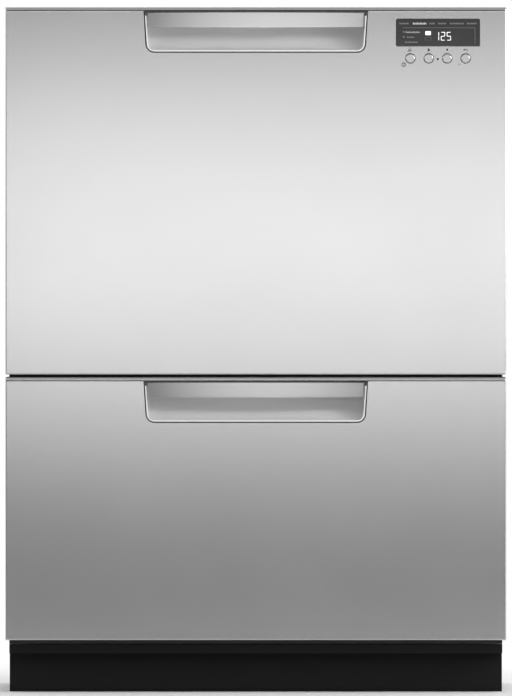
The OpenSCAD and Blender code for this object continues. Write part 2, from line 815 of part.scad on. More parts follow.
// Scooped recess for the fingers, with a raised lip round the opening
module handle_cup(d) {
    center = [scoop_y, cup_top];
    half = handle_w / 2;
    deep = front_t + liner_box_d;
    color("darkgray") translate([0, front_y, front_top(d)]) {
        difference() {
            intersection() {
                along_y(0, deep) polygon(handle_outline(slip));
                along_x(-half, half) intersection() {
                    translate(center) circle(scoop_r, $fn = 96);
                    translate([0, cup_top - scoop_r]) square([deep, scoop_r]);
                }
            }
            intersection() {
                along_y(-1, deep) polygon(handle_outline(slip + cup_wall));
                along_x(-half, half) intersection() {
                    translate(center) circle(scoop_r - cup_wall, $fn = 96);
                    translate([-1, cup_top - scoop_r]) square([deep, scoop_r - cup_wall]);
                }
            }
            // room for the bar in front of the cup's roof
            intersection() {
                along_y(-1, bar_t + 0.2) polygon(handle_outline(slip + cup_wall));
                box([-half, -2, handle_z0 - bar_h - 1], [half, deep, 0]);
            }
        }
        along_y(-lip_proud, 5) difference() {
            polygon(handle_outline(slip));
            polygon(handle_outline(lip_w));
        }
    }
}

// ---------- controls ----------

module display_window() {
    top = front_top(UPPER) - window_drop;
    color([0.2, 0.2, 0.2]) along_y(front_y, front_y + window_t)
        rounded_square([window_x - window_w / 2, top - window_h], [window_x + window_w / 2, top], 0.8);
}

module button(i) {
    color("silver") translate([button_x0 + i * button_pitch, front_y, front_top(UPPER) - button_drop])
        rotate([-90, 0, 0]) {
            translate([0, 0, -button_proud]) cylinder(h = button_proud + skin_t + collar_gap, r = button_r);
            translate([0, 0, skin_t + collar_gap]) cylinder(h = collar_t, r = button_r + 1.4);
            translate([0, 0, skin_t]) cylinder(h = board_y - 2 - skin_t, r = 2);
        }
}

module control_board() {
    top = front_top(UPPER) - window_drop;
    x0 = window_x - window_w / 2;
    x1 = window_x + window_w / 2;
    low = front_top(UPPER) - button_drop - 11;
    color("darkgreen") {
        box([x0 - 3, front_y + board_y, low], [x1 + 3, front_y + board_y + board_t, top + 5]);
        // display block behind the window
        box([x0 + 3, front_y + window_t + 0.2, top - window_h + 3], [x1 - 3, front_y + board_y, top - 3]);
        // switches under the buttons
        for (i = [0:3])
            translate([button_x0 + i * button_pitch, front_y + board_y, front_top(UPPER) - button_drop])
                rotate([90, 0, 0]) cylinder(h = 2 - button_travel - 0.2, r = 3);
        // posts that hold the board off the steel
        for (x = [x0, x1], z = [low + 4, top + 2.5])
            translate([x, front_y + skin_t, z]) rotate([-90, 0, 0]) cylinder(h = board_y - skin_t, r = 1.8);
    }
}

// ---------- tub and wash system ----------

// A box with round upright corners and a rounded floor edge
module tub_body(d, inset) {
    r = tub_r - inset;
    blend = tub_r - 10 - inset;
    x = tub_x - inset;
    y0 = tub_front_y + inset;
    y1 = tub_back_y - inset;
    z0 = floor_z(d) + inset;
    z1 = rim_z(d) + (inset > 0 ? 1 : 0);
    hull() for (sx = [-1, 1], y = [y0 + r, y1 - r]) translate([sx * (x - r), y, 0]) {
        translate([0, 0, z0 + blend]) rotate_extrude($fn = facets) translate([r - blend, 0])
            intersection() {
                circle(blend, $fn = facets);
                translate([0, -blend]) square(blend);
            }
        translate([0, 0, z1 - 1]) cylinder(h = 1, r = r, $fn = facets);
    }
}

module tub(d) {
    sump_bottom = sump_z(d);
    color("silver") difference() {
        union() {
            difference() {
                union() {
                    tub_body(d, 0);
                    // rim flange and stiffening ribs
                    along_z(rim_z(d) - rim_t, rim_z(d))
                        rounded_square([-tub_x - rim_flange, tub_front_y],
                            [tub_x + rim_flange, tub_back_y + rim_flange], tub_r);
                    for (z = [rail_z(d) + rail_h / 2 + 22, (rail_z(d) + rail_h / 2 + rim_z(d)) / 2 + 8])
                        along_z(z, z + 3)
                            rounded_square([-tub_x - 4, tub_front_y], [tub_x + 4, tub_back_y + 4], tub_r);
                }
                tub_body(d, tub_t);
            }
            translate([0, tub_mid_y, sump_bottom]) cylinder(h = sump_d + 1, r = sump_r + tub_t);
            // ledge across the front that the lid's seal lands on
            box([-tub_x + tub_r / 3, tub_front_y, rim_z(d) - rim_t],
                [tub_x - tub_r / 3, tub_front_y + land_w, rim_z(d)]);
            // ledges that carry the basket
            for (x = [-basket_foot_x, basket_foot_x], y = [basket_front_y + 18, basket_back_y - 18])
                box([x - 9, y - 8, inner_z(d) - 1], [x + 9, y + 8, basket_z(d) - wire_r]);
        }
        translate([0, tub_mid_y, sump_bottom + tub_t]) cylinder(h = sump_d + 2, r = sump_r);
        // square seat for the wash motor's boss
        translate([0, tub_mid_y, sump_bottom - 1]) cylinder(h = 2, r = 12);
    }
    color("silver") translate([0, tub_mid_y, sump_bottom + tub_t - 1])
        cylinder(h = sump_d - 1, r = spindle_r);
}

module wash_motor(d) {
    color([0.25, 0.25, 0.27]) translate([0, tub_mid_y, motor_z(d)]) {
        difference() {
            cylinder(h = motor_h, r = motor_r);
            translate([0, 0, -1]) cylinder(h = 5, r = 34);
            // cooling ribs round the can
            for (a = [0:15:345])
                rotate(a) translate([motor_r - 5, -2, -1]) cube([6, 4, motor_h - 5]);
        }
        translate([0, 0, motor_h - 0.5]) cylinder(h = 1.3, r = 11.5);
        translate([motor_r - 4, -18, 4]) cube([26, 36, 13]);
    }
}

module impeller(d) {
    z = sump_z(d) + tub_t + 1.2;
    color("white") translate([0, tub_mid_y, z]) difference() {
        union() {
            cylinder(h = 2.5, r = impeller_r);
            cylinder(h = 9.5, r = spindle_r + 6);
            for (a = [0:45:315])
                rotate(a) translate([spindle_r + 4, -1.2, 1]) cube([impeller_r - spindle_r - 6, 2.4, 7.5]);
        }
        translate([0, 0, -1]) cylinder(h = 12, r = spindle_r + running);
    }
}

// Perforated plate over the sump, with the spigot for the spray arm and the lift-out drain filter
module filter_plate(d) {
    z = inner_z(d);
    filter_x = -sump_r - 46;
    color("gainsboro") translate([0, tub_mid_y, z]) difference() {
        union() {
            cylinder(h = plate_t, r = plate_r);
            cylinder(h = spigot_h, r = spigot_r);
            cylinder(h = arm_gap - slip, r = spigot_r + 4);
        }
        for (ring = [1:4], a = [0:30:330])
            rotate(a + 15 * (ring % 2)) translate([spigot_r + 8 + ring * 18, 0, -1])
                cylinder(h = plate_t + 2, r = 3.2, $fn = 24);
        translate([0, 0, 4]) cylinder(h = spigot_h, r = spigot_r - 3);
    }
    color("dimgray") translate([filter_x, tub_mid_y, z]) {
        cylinder(h = plate_t, r = 30);
        translate([-18, -3, 0]) cube([36, 6, arm_gap - 1]);
    }
}

module spray_arm(d) {
    z = inner_z(d) + arm_gap;
    tip_w = arm_w * 0.55;
    color("lightgray") translate([0, tub_mid_y, z]) difference() {
        union() {
            cylinder(h = arm_t, r = hub_r + 8);
            along_z(0, arm_t) polygon([
                [-arm_r + tip_w / 2, -tip_w / 2], [0, -arm_w / 2], [arm_r - tip_w / 2, -tip_w / 2],
                [arm_r - tip_w / 2, tip_w / 2], [0, arm_w / 2], [-arm_r + tip_w / 2, tip_w / 2]
            ]);
            for (s = [-1, 1])
                translate([s * (arm_r - tip_w / 2), 0, 0]) cylinder(h = arm_t, r = tip_w / 2);
        }
        translate([0, 0, -1]) cylinder(h = arm_t + 2, r = spigot_r + running);
        // nozzles
        for (s = [-1, 1], i = [0:nozzle_count - 1]) {
            x = nozzle_xs[0] + i * (nozzle_xs[1] - nozzle_xs[0]) / (nozzle_count - 1);
            translate([s * x, s * (i % 2 == 0 ? 4 : -4), arm_t - 3])
                cylinder(h = 4, r = nozzle_r, $fn = 24);
        }
    }
}

// ---------- baskets ----------

function grid(low, high) = [
    for (i = [0:round((high - low) / wire_pitch)]) low + i * (high - low) / round((high - low) / wire_pitch)
];

// A closed loop of wire round the basket, with rounded corners
module hoop(z, r) {
    x = basket_w / 2 - rim_wire_r;
    y = basket_len / 2 - rim_wire_r;
    c = basket_r - rim_wire_r;
    translate([0, basket_mid_y, z]) {
        for (s = [-1, 1]) {
            wire([-x + c, s * y, 0], [x - c, s * y, 0], r);
            wire([s * x, -y + c, 0], [s * x, y - c, 0], r);
        }
        for (i = [0:3])
            translate([(i == 0 || i == 3 ? 1 : -1) * (x - c), (i < 2 ? 1 : -1) * (y - c), 0])
                rotate(90 * i) rotate_extrude(angle = 90) translate([c, 0]) circle(r, $fn = 24);
    }
}

// Three hoops with upright wires welded inside them, a floor of crossing wires, and rows of plate tines
module basket(d) {
    z = basket_z(d);
    top = z + basket_h(d) - rim_wire_r;
    half_x = basket_w / 2 - rim_wire_r - wire_cross;
    half_y = basket_len / 2 - rim_wire_r - wire_cross;
    floor_x = half_x - wire_r - panel_gap;
    floor_y = half_y - wire_r - panel_gap;
    xs = grid(-basket_foot_x, basket_foot_x);
    ys = grid(-half_y + basket_r, half_y - basket_r);
    color("whitesmoke") {
        hoop(z + wire_r, wire_r);
        hoop((z + top) / 2, wire_r);
        hoop(top, rim_wire_r);
        for (s = [-1, 1]) {
            for (x = xs)
                wire([x, basket_mid_y + s * half_y, z - 1], [x, basket_mid_y + s * half_y, top], wire_r);
            for (y = ys)
                if (abs(abs(y) - eye_share * cup_rack_len) > eye_w)
                    wire([s * half_x, basket_mid_y + y, z - 1], [s * half_x, basket_mid_y + y, top], wire_r);
        }
        // floor: wires front to back, with the wires across lying on them
        translate([0, basket_mid_y, z]) {
            for (x = xs)
                wire([x, -floor_y, 0], [x, floor_y, 0], wire_r);
            for (y = ys)
                wire([-floor_x, y, wire_cross], [floor_x, y, wire_cross], wire_r);
        }
        // plate tines on their foot wires
        for (x = tine_xs) {
            foot = z + 2 * wire_cross + panel_gap + weld;
            reach = tine_pitch * (tine_count - 1) / 2;
            wire([x, basket_mid_y - reach - 6, foot], [x, basket_mid_y + reach + 6, foot], wire_r);
            for (i = [0:tine_count - 1])
                wire([x, basket_mid_y - reach + i * tine_pitch, foot],
                    [x, basket_mid_y - reach + i * tine_pitch, foot + tine_h], tine_r);
        }
    }
}

function rack_eye_y(i) = basket_mid_y + (i == 0 ? -eye_share : eye_share) * cup_rack_len;

// A folding shelf for cups that turns on the left rim wire of the basket
module cup_rack(d) {
    x = -basket_w / 2 + rim_wire_r;
    z = basket_z(d) + basket_h(d) - rim_wire_r;
    y0 = basket_mid_y - cup_rack_len / 2;
    y1 = basket_mid_y + cup_rack_len / 2;
    reach = eye_r + 2.2;
    ribs = 7;
    color("lightgray") difference() {
        union() {
            for (i = [0, 1])
                translate([x, rack_eye_y(i), z]) rotate([90, 0, 0])
                    cylinder(h = eye_w, r = eye_r, center = true);
            for (i = [0, 1])
                box([x + 2, rack_eye_y(i) - eye_w / 2, z - 2],
                    [x + reach + 3, rack_eye_y(i) + eye_w / 2, z + 2]);
            for (i = [0, 1])
                box([x + reach + i * (cup_rack_w - reach - 5), y0, z - 2.5],
                    [x + reach + 5 + i * (cup_rack_w - reach - 5), y1, z + 2.5]);
            for (i = [0:ribs])
                box([x + reach + 2, y0 + i * (cup_rack_len - 4) / ribs, z - 2],
                    [x + cup_rack_w - 2, y0 + 4 + i * (cup_rack_len - 4) / ribs, z + 2]);
        }
        for (i = [0, 1])
            translate([x, rack_eye_y(i), z]) rotate([90, 0, 0])
                cylinder(h = eye_w + 2, r = rim_wire_r + running, center = true);
    }
}

// Open-topped cutlery holder with six cells and slotted walls
module cutlery_basket(d) {
    z = basket_z(d) + 3 * wire_r - weld + slip;
    y0 = basket_mid_y - cutlery_len / 2;
    t = cutlery_t;
    cells = 3;
    cell_w = (cutlery_w - 3 * t) / 2;
    cell_len = (cutlery_len - (cells + 1) * t) / cells;
    color("lightgray") translate([cutlery_x, y0, z]) difference() {
        cube([cutlery_w, cutlery_len, cutlery_h]);
        for (i = [0, 1], j = [0:cells - 1])
            translate([t + i * (cell_w + t), t + j * (cell_len + t), t])
                cube([cell_w, cell_len, cutlery_h]);
        // slots through the long walls
        for (j = [0:cells - 1], k = [0:4])
            translate([-1, t + j * (cell_len + t) + 6 + k * (cell_len - 12 - 4) / 4, 12])
                for (wall = [0, cutlery_w - t])
                    translate([wall, 0, 0]) cube([t + 2, 4, cutlery_h - 34]);
    }
}

// ---------- dispenser ----------

function dispenser_z(d) = rim_z(d) - dispenser_drop - dispenser_h;
function hinge_z(d) = dispenser_z(d) + 12;
flap_x = -dispenser_w / 2 + 10 + flap_w / 2;
hinge_y = dispenser_y + dispenser_d + hinge_r + 1.2;
cap_x = dispenser_w / 2 - cap_r - 8;

module dispenser(d) {
    z = dispenser_z(d);
    front = dispenser_y + dispenser_d;
    color("lightgray") difference() {
        union() {
            along_y(dispenser_y, front)
                rounded_square([-dispenser_w / 2, z], [dispenser_w / 2, z + dispenser_h], 8);
            // ears that hold the flap's hinge pins
            for (s = [-1, 1])
                translate([flap_x + s * (flap_w / 2 + slip + ear_w / 2), 0, 0])
                    box([-ear_w / 2, front - 1, hinge_z(d) - 3], [ear_w / 2, hinge_y + 3, hinge_z(d) + 3]);
        }
        // detergent well
        along_y(front - 12, front + 1)
            rounded_square([flap_x - flap_w / 2 + 6, hinge_z(d) + 5],
                [flap_x + flap_w / 2 - 6, hinge_z(d) + flap_h - 3], 4);
        translate([flap_x, hinge_y, hinge_z(d)]) rotate([0, 90, 0])
            cylinder(h = flap_w + 2 * ear_w + 4, r = hinge_r + running, center = true);
        // socket of the rinse aid cap
        translate([cap_x, front + 1, z + dispenser_h / 2]) rotate([90, 0, 0])
            cylinder(h = 11, r = cap_pin_r + running);
    }
}

module dispenser_flap(d) {
    y = hinge_y - flap_t / 2;
    color("gray") union() {
        box([flap_x - flap_w / 2, y, hinge_z(d)], [flap_x + flap_w / 2, y + flap_t, hinge_z(d) + flap_h]);
        translate([flap_x, hinge_y, hinge_z(d)]) rotate([0, 90, 0])
            cylinder(h = flap_w + 2 * slip + 2 * ear_w, r = hinge_r, center = true);
        // thumb catch
        box([flap_x - 8, y + flap_t - 0.5, hinge_z(d) + flap_h - 6],
            [flap_x + 8, y + flap_t + 2.5, hinge_z(d) + flap_h - 1]);
    }
}

module rinse_cap(d) {
    color("gray") translate([cap_x, dispenser_y + dispenser_d + slip, dispenser_z(d) + dispenser_h / 2])
        rotate([-90, 0, 0]) {
            cylinder(h = cap_t, r = cap_r);
            translate([0, 0, -9]) cylinder(h = 10, r = cap_pin_r);
            translate([-cap_r + 3, -2, cap_t - 1]) cube([2 * cap_r - 6, 4, 4]);
        }
}

// ---------- feet, fittings and screws ----------

module foot(sx, i) {
    nut_r = stem_r + 4;
    color("dimgray") translate([sx * foot_x, foot_ys[i], 0]) {
        cylinder(h = foot_pad_h, r = foot_r);
        translate([0, 0, foot_pad_h - 1]) cylinder(h = tray_z - nut_gap - foot_pad_h + 1, r = nut_r, $fn = 6);
        translate([0, 0, 1]) cylinder(h = stem_top_z - 1, r = stem_r);
    }
}

module service_plate() {
    z0 = tray_z + tray_t;
    color("dimgray") difference() {
        union() {
            box([service_x[0], service_y, z0], [service_x[1], service_y + 3, z0 + service_h]);
            box([service_x[0], service_y - 20, z0], [service_x[1], service_y + 3, z0 + 3]);
            // inlet valve body and its threaded hose stub
            translate([inlet_x, service_y + 2 - valve_len, fitting_z])
                rotate([-90, 0, 0]) cylinder(h = valve_len, r = valve_r);
            translate([inlet_x, service_y, fitting_z]) rotate([-90, 0, 0]) {
                cylinder(h = 10, r = inlet_r + 3.5);
                cylinder(h = 10 + inlet_len, r = inlet_r);
            }
            // drain spigot
            translate([drain_x, service_y, fitting_z]) rotate([-90, 0, 0]) {
                cylinder(h = 6, r = drain_r + 4);
                translate([0, 0, -20]) cylinder(h = 26 + drain_len, r = drain_r);
            }
        }
        translate([inlet_x, service_y - 10, fitting_z])
            rotate([-90, 0, 0]) cylinder(h = 60, r = inlet_r - 3);
        translate([drain_x, service_y - 30, fitting_z])
            rotate([-90, 0, 0]) cylinder(h = 90, r = drain_r - 2);
        translate([gland_x, service_y - 1, fitting_z])
            rotate([-90, 0, 0]) cylinder(h = 6, r = gland_seat_r + 0.1);
    }
}

module mains_gland() {
    color([0.15, 0.15, 0.15]) translate([gland_x, service_y, fitting_z]) rotate([-90, 0, 0]) difference() {
        union() {
            translate([0, 0, -6]) cylinder(h = 10, r = gland_seat_r);
            translate([0, 0, 3]) cylinder(h = 7, r = 12, $fn = 6);
            translate([0, 0, 9]) cylinder(h = 6, r = 8.5);
            translate([0, 0, -6]) cylinder(h = 5.8, r = 10, $fn = 6);
        }
        translate([0, 0, -7]) cylinder(h = 23, r = gland_bore_r);
    }
}

module chassis_screws() {
    color("gray") {
        both_sides() for (p = side_screws())
            translate([chassis_w / 2, p[0], p[1]]) rotate([0, 90, 0]) screw();
        both_sides() for (z = back_screw_zs)
            translate([back_screw_x, back_y, z]) rotate([-90, 0, 0]) screw();
    }
}

// ---------- the nodes ----------

mirror([1, 0, 0]) side_panel();  // side_panel_left
side_panel();  // side_panel_right
back_panel();
top_panel();
base_tray();
cross_braces();
kickboard();
opening_seals();
chassis_rails();
lid_lifts();
controller_module();
service_plate();
mains_gland();
chassis_screws();
foot(-1, 0);  // foot_front_left
foot(1, 0);  // foot_front_right
foot(-1, 1);  // foot_back_left
foot(1, 1);  // foot_back_right
for (d = DRAWERS) {
    name = d == LOWER ? "lower_" : "upper_";
    front_panel(d);
    front_liner(d);
    handle_bar(d);
    handle_cup(d);
    tub(d);
    drawer_rails(d);
    mid_rails(d);
    lid(d);
    spray_arm(d);
    wash_motor(d);
    impeller(d);
    filter_plate(d);
    basket(d);
    cup_rack(d);
    cutlery_basket(d);
    dispenser(d);
    dispenser_flap(d);
    rinse_cap(d);
}
display_window();
control_board();
for (i = [0:3])
    button(i);
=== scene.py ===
import json
import math

import bmesh
import bpy
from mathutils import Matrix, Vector

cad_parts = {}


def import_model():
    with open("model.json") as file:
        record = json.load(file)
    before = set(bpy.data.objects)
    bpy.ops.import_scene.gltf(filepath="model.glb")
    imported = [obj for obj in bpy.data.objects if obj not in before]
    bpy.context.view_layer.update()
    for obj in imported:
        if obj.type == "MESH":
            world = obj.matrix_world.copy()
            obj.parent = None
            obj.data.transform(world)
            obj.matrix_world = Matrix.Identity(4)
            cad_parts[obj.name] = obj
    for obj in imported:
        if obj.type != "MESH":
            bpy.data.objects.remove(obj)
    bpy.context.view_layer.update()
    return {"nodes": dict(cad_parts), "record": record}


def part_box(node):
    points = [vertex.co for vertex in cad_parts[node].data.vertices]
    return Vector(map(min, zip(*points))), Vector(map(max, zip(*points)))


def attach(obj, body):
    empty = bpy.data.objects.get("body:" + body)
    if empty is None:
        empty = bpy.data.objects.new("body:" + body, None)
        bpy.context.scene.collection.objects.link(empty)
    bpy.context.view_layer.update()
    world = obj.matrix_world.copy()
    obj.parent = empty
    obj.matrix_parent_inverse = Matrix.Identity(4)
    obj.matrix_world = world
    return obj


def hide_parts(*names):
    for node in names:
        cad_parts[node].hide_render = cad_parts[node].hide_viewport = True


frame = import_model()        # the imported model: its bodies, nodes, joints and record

# A double dishwasher drawer. Metres; X across the front, -Y out of the fronts, Z up from the floor.
MM = 0.001
OVER = 10 * MM      # how far a cutting tool reaches past what it cuts
MERGE = 1e-6        # points nearer to each other than this are one
UPRIGHT = (math.radians(90), 0, 0)    # turns a lying primitive to face the front

BODY_OF = {
    node: body for body, nodes in frame["record"]["behaviour"]["bodies"].items() for node in nodes
}
SLOT_OF = {part["node"]: part["material_slot"] for part in frame["record"]["subparts"]}


# ---------- modelling ----------

def choose(*pieces):
    """These pieces alone are selected, in object mode."""
    if bpy.context.mode != "OBJECT":
        bpy.ops.object.mode_set(mode="OBJECT")
    bpy.ops.object.select_all(action="DESELECT")
    for piece in pieces:
        piece.select_set(True)
        bpy.context.view_layer.objects.active = piece


def settle(piece):
    """Moves the piece's place, turn and scale into its mesh."""
    choose(piece)
    bpy.ops.object.transform_apply(location=True, rotation=True, scale=True)
    return piece


def start(kind, **settings):
    """A primitive at its place, the start of a piece."""
    choose()
    getattr(bpy.ops.mesh, f"primitive_{kind}_add")(**settings)
    return settle(bpy.context.object)


def sheet(middle, width, height, turn=(0, 0, 0)):
    """A flat rectangle, turned about its middle, the start of a piece."""
    piece = start("plane", size=1)
    piece.scale = (width, height, 1)
    piece.rotation_euler = turn
    piece.location = middle
    return settle(piece)


def block(low, high):
    """A box from its lowest to its highest corner, the start of a piece."""
    low, high = Vector(low), Vector(high)
    return start("cube", size=1, location=(low + high) / 2, scale=high - low)


class Editing:
    """Edit mode on one piece; faces, edges and points are picked by a test of where they are."""

    def __init__(self, piece):
        self.piece = piece

    def __enter__(self):
        choose(self.piece)
        bpy.ops.object.mode_set(mode="EDIT")
        return self

    def __exit__(self, *_):
        bpy.ops.object.mode_set(mode="OBJECT")

    def _pick(self, kind, elements, test):
        bpy.ops.mesh.select_mode(type=kind)
        bpy.ops.mesh.select_all(action="DESELECT")
        mesh = bmesh.from_edit_mesh(self.piece.data)
        for element in getattr(mesh, elements):
            if test(element):
                element.select_set(True)
        mesh.select_flush_mode()
        bmesh.update_edit_mesh(self.piece.data)

    def faces(self, test):
        """Picks the faces whose middle and normal pass the test."""
        self._pick("FACE", "faces", lambda f: test(f.calc_center_median(), f.normal))

    def edges(self, test):
        """Picks the edges whose two ends pass the test."""
        self._pick("EDGE", "edges", lambda e: test(e.verts[0].co, e.verts[1].co))

    def points(self, test):
        """Picks the points that pass the test."""
        self._pick("VERT", "verts", lambda v: test(v.co))

    def everything(self):
        """Picks all of the piece."""
        bpy.ops.mesh.select_all(action="SELECT")

    def rim(self):
        """Picks the edges round the picked faces."""
        bpy.ops.mesh.region_to_loop()

    def extrude(self, step):
        """Extrudes what is picked by a step."""
        bpy.ops.mesh.extrude_region_move(TRANSFORM_OT_translate={"value": step})

    def bevel(self, offset, segments, affect="EDGES"):
        """Rounds the picked edges, or with VERTICES the picked corners of a flat piece."""
        bpy.ops.mesh.bevel(offset=offset, segments=segments, affect=affect)

    def slice(self, z, **settings):
        """Slices all of the piece at a height."""
        self.everything()
        bpy.ops.mesh.bisect(plane_co=(0, 0, z), plane_no=(0, 0, 1), **settings)


def modify(piece, kind, **settings):
    """Adds one modifier and applies it."""
    choose(piece)
    modifier = piece.modifiers.new(kind.lower(), kind)
    for key, value in settings.items():
        setattr(modifier, key, value)
    bpy.ops.object.modifier_apply(modifier=modifier.name)
    return piece


def round_edges(piece, width, segments=3, angle=30):
    """Rounds the edges that are sharper than the angle."""
    return modify(piece, "BEVEL", width=width, segments=segments, limit_method="ANGLE",
                  angle_limit=math.radians(angle))


def tidy(piece):
    """Merges doubled points and turns every face outwards."""
    with Editing(piece) as edit:
        edit.everything()
        bpy.ops.mesh.remove_doubles(threshold=MERGE)
        bpy.ops.mesh.normals_make_consistent(inside=False)
    return piece


def join(*pieces):
    """One mesh of several, under the first one's name."""
    choose(*reversed(pieces))
    bpy.ops.object.join()
    return pieces[0]


def shape(piece, tool, operation="DIFFERENCE"):
    """Takes the tool's shape out of the piece, or with INTERSECT keeps only what lies in it."""
    modify(piece, "BOOLEAN", operation=operation, solver="EXACT", object=tool)
    bpy.data.objects.remove(tool)
    return piece


def rounded_plate(low, high, radius, steps=6, test=lambda p: True, pull=0.0, at=0.0):
    """A flat plate in X and Z, at a depth of at in Y; the corners that pass the test are rounded.

    Its lower corners are pulled in by pull, so that it tapers.
    """
    (x0, z0), (x1, z1) = low, high
    middle_x, middle_z = (x0 + x1) / 2, (z0 + z1) / 2
    piece = sheet((middle_x, at, middle_z), x1 - x0, z1 - z0, UPRIGHT)
    for side in ((-1, 1) if pull else ()):
        with Editing(piece) as edit:
            edit.points(lambda p: p.z < middle_z and (p.x - middle_x) * side > 0)
            bpy.ops.transform.translate(value=(-side * pull, 0, 0))
    with Editing(piece) as edit:
        edit.points(test)
        edit.bevel(radius, steps, "VERTICES")
    return piece


def deepen(piece, step):
    """Extrudes the whole of a flat piece by a step, to a solid."""
    with Editing(piece) as edit:
        edit.everything()
        edit.extrude(step)
    return tidy(piece)


def rod(first, second, radius):
    """A round bar between two points, its ends domed."""
    first, second = Vector(first), Vector(second)
    along = second - first
    piece = start("cylinder", vertices=10, radius=radius, depth=along.length,
                  location=(first + second) / 2, rotation=along.to_track_quat("Z", "Y").to_euler())
    unit = along.normalized()
    with Editing(piece) as edit:
        edit.faces(lambda c, n: abs(n.dot(unit)) > 0.9)
        edit.rim()
        edit.bevel(0.6 * radius, 2)
    return piece


def wire(piece, radius, capped=False):
    """Makes round wire of the edges of a piece that has no faces."""
    choose(piece)
    bpy.ops.object.convert(target="CURVE")
    curve = bpy.context.object.data
    curve.bevel_depth = radius
    curve.bevel_resolution = 2
    curve.use_fill_caps = capped
    bpy.ops.object.convert(target="MESH")
    return bpy.context.object


def wire_loop(low, high, z, corner, radius):
    """A closed loop of round wire with round corners, flat at height z."""
    piece = sheet(((low[0] + high[0]) / 2, (low[1] + high[1]) / 2, z), high[0] - low[0],
                  high[1] - low[1])
    with Editing(piece) as edit:
        edit.everything()
        edit.bevel(corner, 6, "VERTICES")
        edit.everything()
        bpy.ops.mesh.delete(type="ONLY_FACE")
    return tidy(wire(piece, radius))


def repeat(piece, count, step):
    """The piece repeated along a step, as one mesh."""
    return modify(piece, "ARRAY", count=count, use_relative_offset=False, use_constant_offset=True,
                  constant_offset_displace=step)


def finish(piece, name, like, material=None, replaces=True, angle=35):
    """Smooths, names and paints a piece that replaces or joins a CAD node, and lets it ride.

    Edges sharper than the angle stay sharp.
    """
    settle(piece)
    choose(piece)
    bpy.ops.object.shade_smooth_by_angle(angle=math.radians(angle))
    modify(piece, "WEIGHTED_NORMAL", weight=100, keep_sharp=True)
    piece.name = piece.data.name = name
    slot = SLOT_OF[like]
    piece.data.materials.clear()
    piece.data.materials.append(material or FINISHES[slot])
    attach(piece, BODY_OF[like])
    if replaces:
        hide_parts(like)
    return piece


# ---------- finishes ----------

class Value:
    """A node's output; Python's operators on it add Math nodes."""

    def __init__(self, finish, socket):
        self.finish = finish
        self.socket = socket

    def _math(self, operation, *terms):
        return self.finish.node("ShaderNodeMath", {"operation": operation}, *terms)

    def __add__(self, other):
        return self._math("ADD", self, other)

    def __sub__(self, other):
        return self._math("SUBTRACT", self, other)

    def __mul__(self, other):
        return self._math("MULTIPLY", self, other)

    __radd__ = __add__
    __rmul__ = __mul__


# Sockets of a colour Mix node
MIX_FACTOR, MIX_FIRST, MIX_SECOND, MIX_RESULT = 0, 6, 7, 2


class Finish:
    """A material in the making."""

    def __init__(self, name):
        self.material = bpy.data.materials.new(name)
        self.material.use_nodes = True
        self.tree = self.material.node_tree
        self.tree.nodes.clear()
        self.place = self.node("ShaderNodeTexCoord", output="Object")

    def node(self, kind, settings=(), *terms, output=0, **values):
        """Adds a node: first its settings, then its sockets' values or links, by number or name."""
        made = self.tree.nodes.new(kind)
        for key, value in dict(settings).items():
            setattr(made, key, value)
        for key, value in [*enumerate(terms), *values.items()]:
            self.feed(made.inputs[key if isinstance(key, int) else key.replace("_", " ")], value)
        return Value(self, made.outputs[output]) if made.outputs else None

    def feed(self, socket, value):
        """Links the value to the socket, or writes it there if it is a plain one."""
        if isinstance(value, Value):
            self.tree.links.new(value.socket, socket)
        else:
            socket.default_value = value

    def scaled(self, x, y, z):
        """Object coordinates with a scale for each axis, for grain and streaks."""
        return self.node("ShaderNodeMapping", Vector=self.place, Scale=(x, y, z))

    def noise(self, scale, detail=2.0, at=None):
        """Soft random variation about 0.5; scale is in features a metre."""
        return self.node("ShaderNodeTexNoise", Vector=at or self.place, Scale=scale, Detail=detail)

    def ramp(self, value, low, high):
        """0 below low and 1 above high."""
        return self.node("ShaderNodeMapRange", {"clamp": True}, Value=value, From_Min=low,
                         From_Max=high)

    def between(self, factor, first, second):
        """A colour between two, each a colour or a link."""
        made = self.tree.nodes.new("ShaderNodeMix")
        made.data_type = "RGBA"
        self.feed(made.inputs[MIX_FACTOR], factor)
        for number, color in ((MIX_FIRST, first), (MIX_SECOND, second)):
            self.feed(made.inputs[number], color if isinstance(color, Value) else (*color, 1))
        return Value(self, made.outputs[MIX_RESULT])

    def bump(self, height, strength, distance):
        """Fine relief, for a Normal socket."""
        return self.node("ShaderNodeBump", Height=height, Strength=strength, Distance=distance)

    def surface(self, **values):
        """Ends the material with a Principled shader."""
        shader = self.node("ShaderNodeBsdfPrincipled", **values)
        self.node("ShaderNodeOutputMaterial", Surface=shader)
        return self.material


def grey(tone):
    """The colour of one tone in all three channels."""
    return (tone, tone, tone)


def brushed_steel(name, tone, roughness, stretch, drawn=0.5, end_shade=0.0, half=1.0):
    """Brushed sheet: fine lines along the grain, with faint streaks and smudges in its gloss.

    Its gloss is drawn out across the lines, by drawn. Painted shade: its colour darkens by a given
    share from near its middle to its ends at X = -half and half, standing in for the dimmer
    reflection at the ends of a bowed bar.
    """
    steel = Finish(name)
    lines = steel.noise(1.0, 3.0, at=steel.scaled(*stretch))
    streaks = steel.noise(1.0, 2.0, at=steel.scaled(*(s / 12 for s in stretch)))
    smudges = steel.noise(9.0, 3.0)
    shade = lines * 0.6 + streaks * 0.4
    color = steel.between(shade, grey(tone * 0.975), grey(tone * 1.025))
    # Painted shade: the colour darkens from near the middle towards the ends at X = -half and half.
    if end_shade:
        away = steel.node("ShaderNodeSeparateXYZ", (), steel.place) - half * 0.08
        color = steel.between(steel.ramp(away * away, 0.0, half * half), color,
                              grey(tone * (1 - end_shade)))
    gloss = lines * 0.03 + smudges * 0.02 + (roughness - 0.025)
    return steel.surface(Base_Color=color, Metallic=1.0, Roughness=gloss, Anisotropic=drawn,
                         Anisotropic_Rotation=0.25, Normal=steel.bump(lines, 0.02, 0.0001))


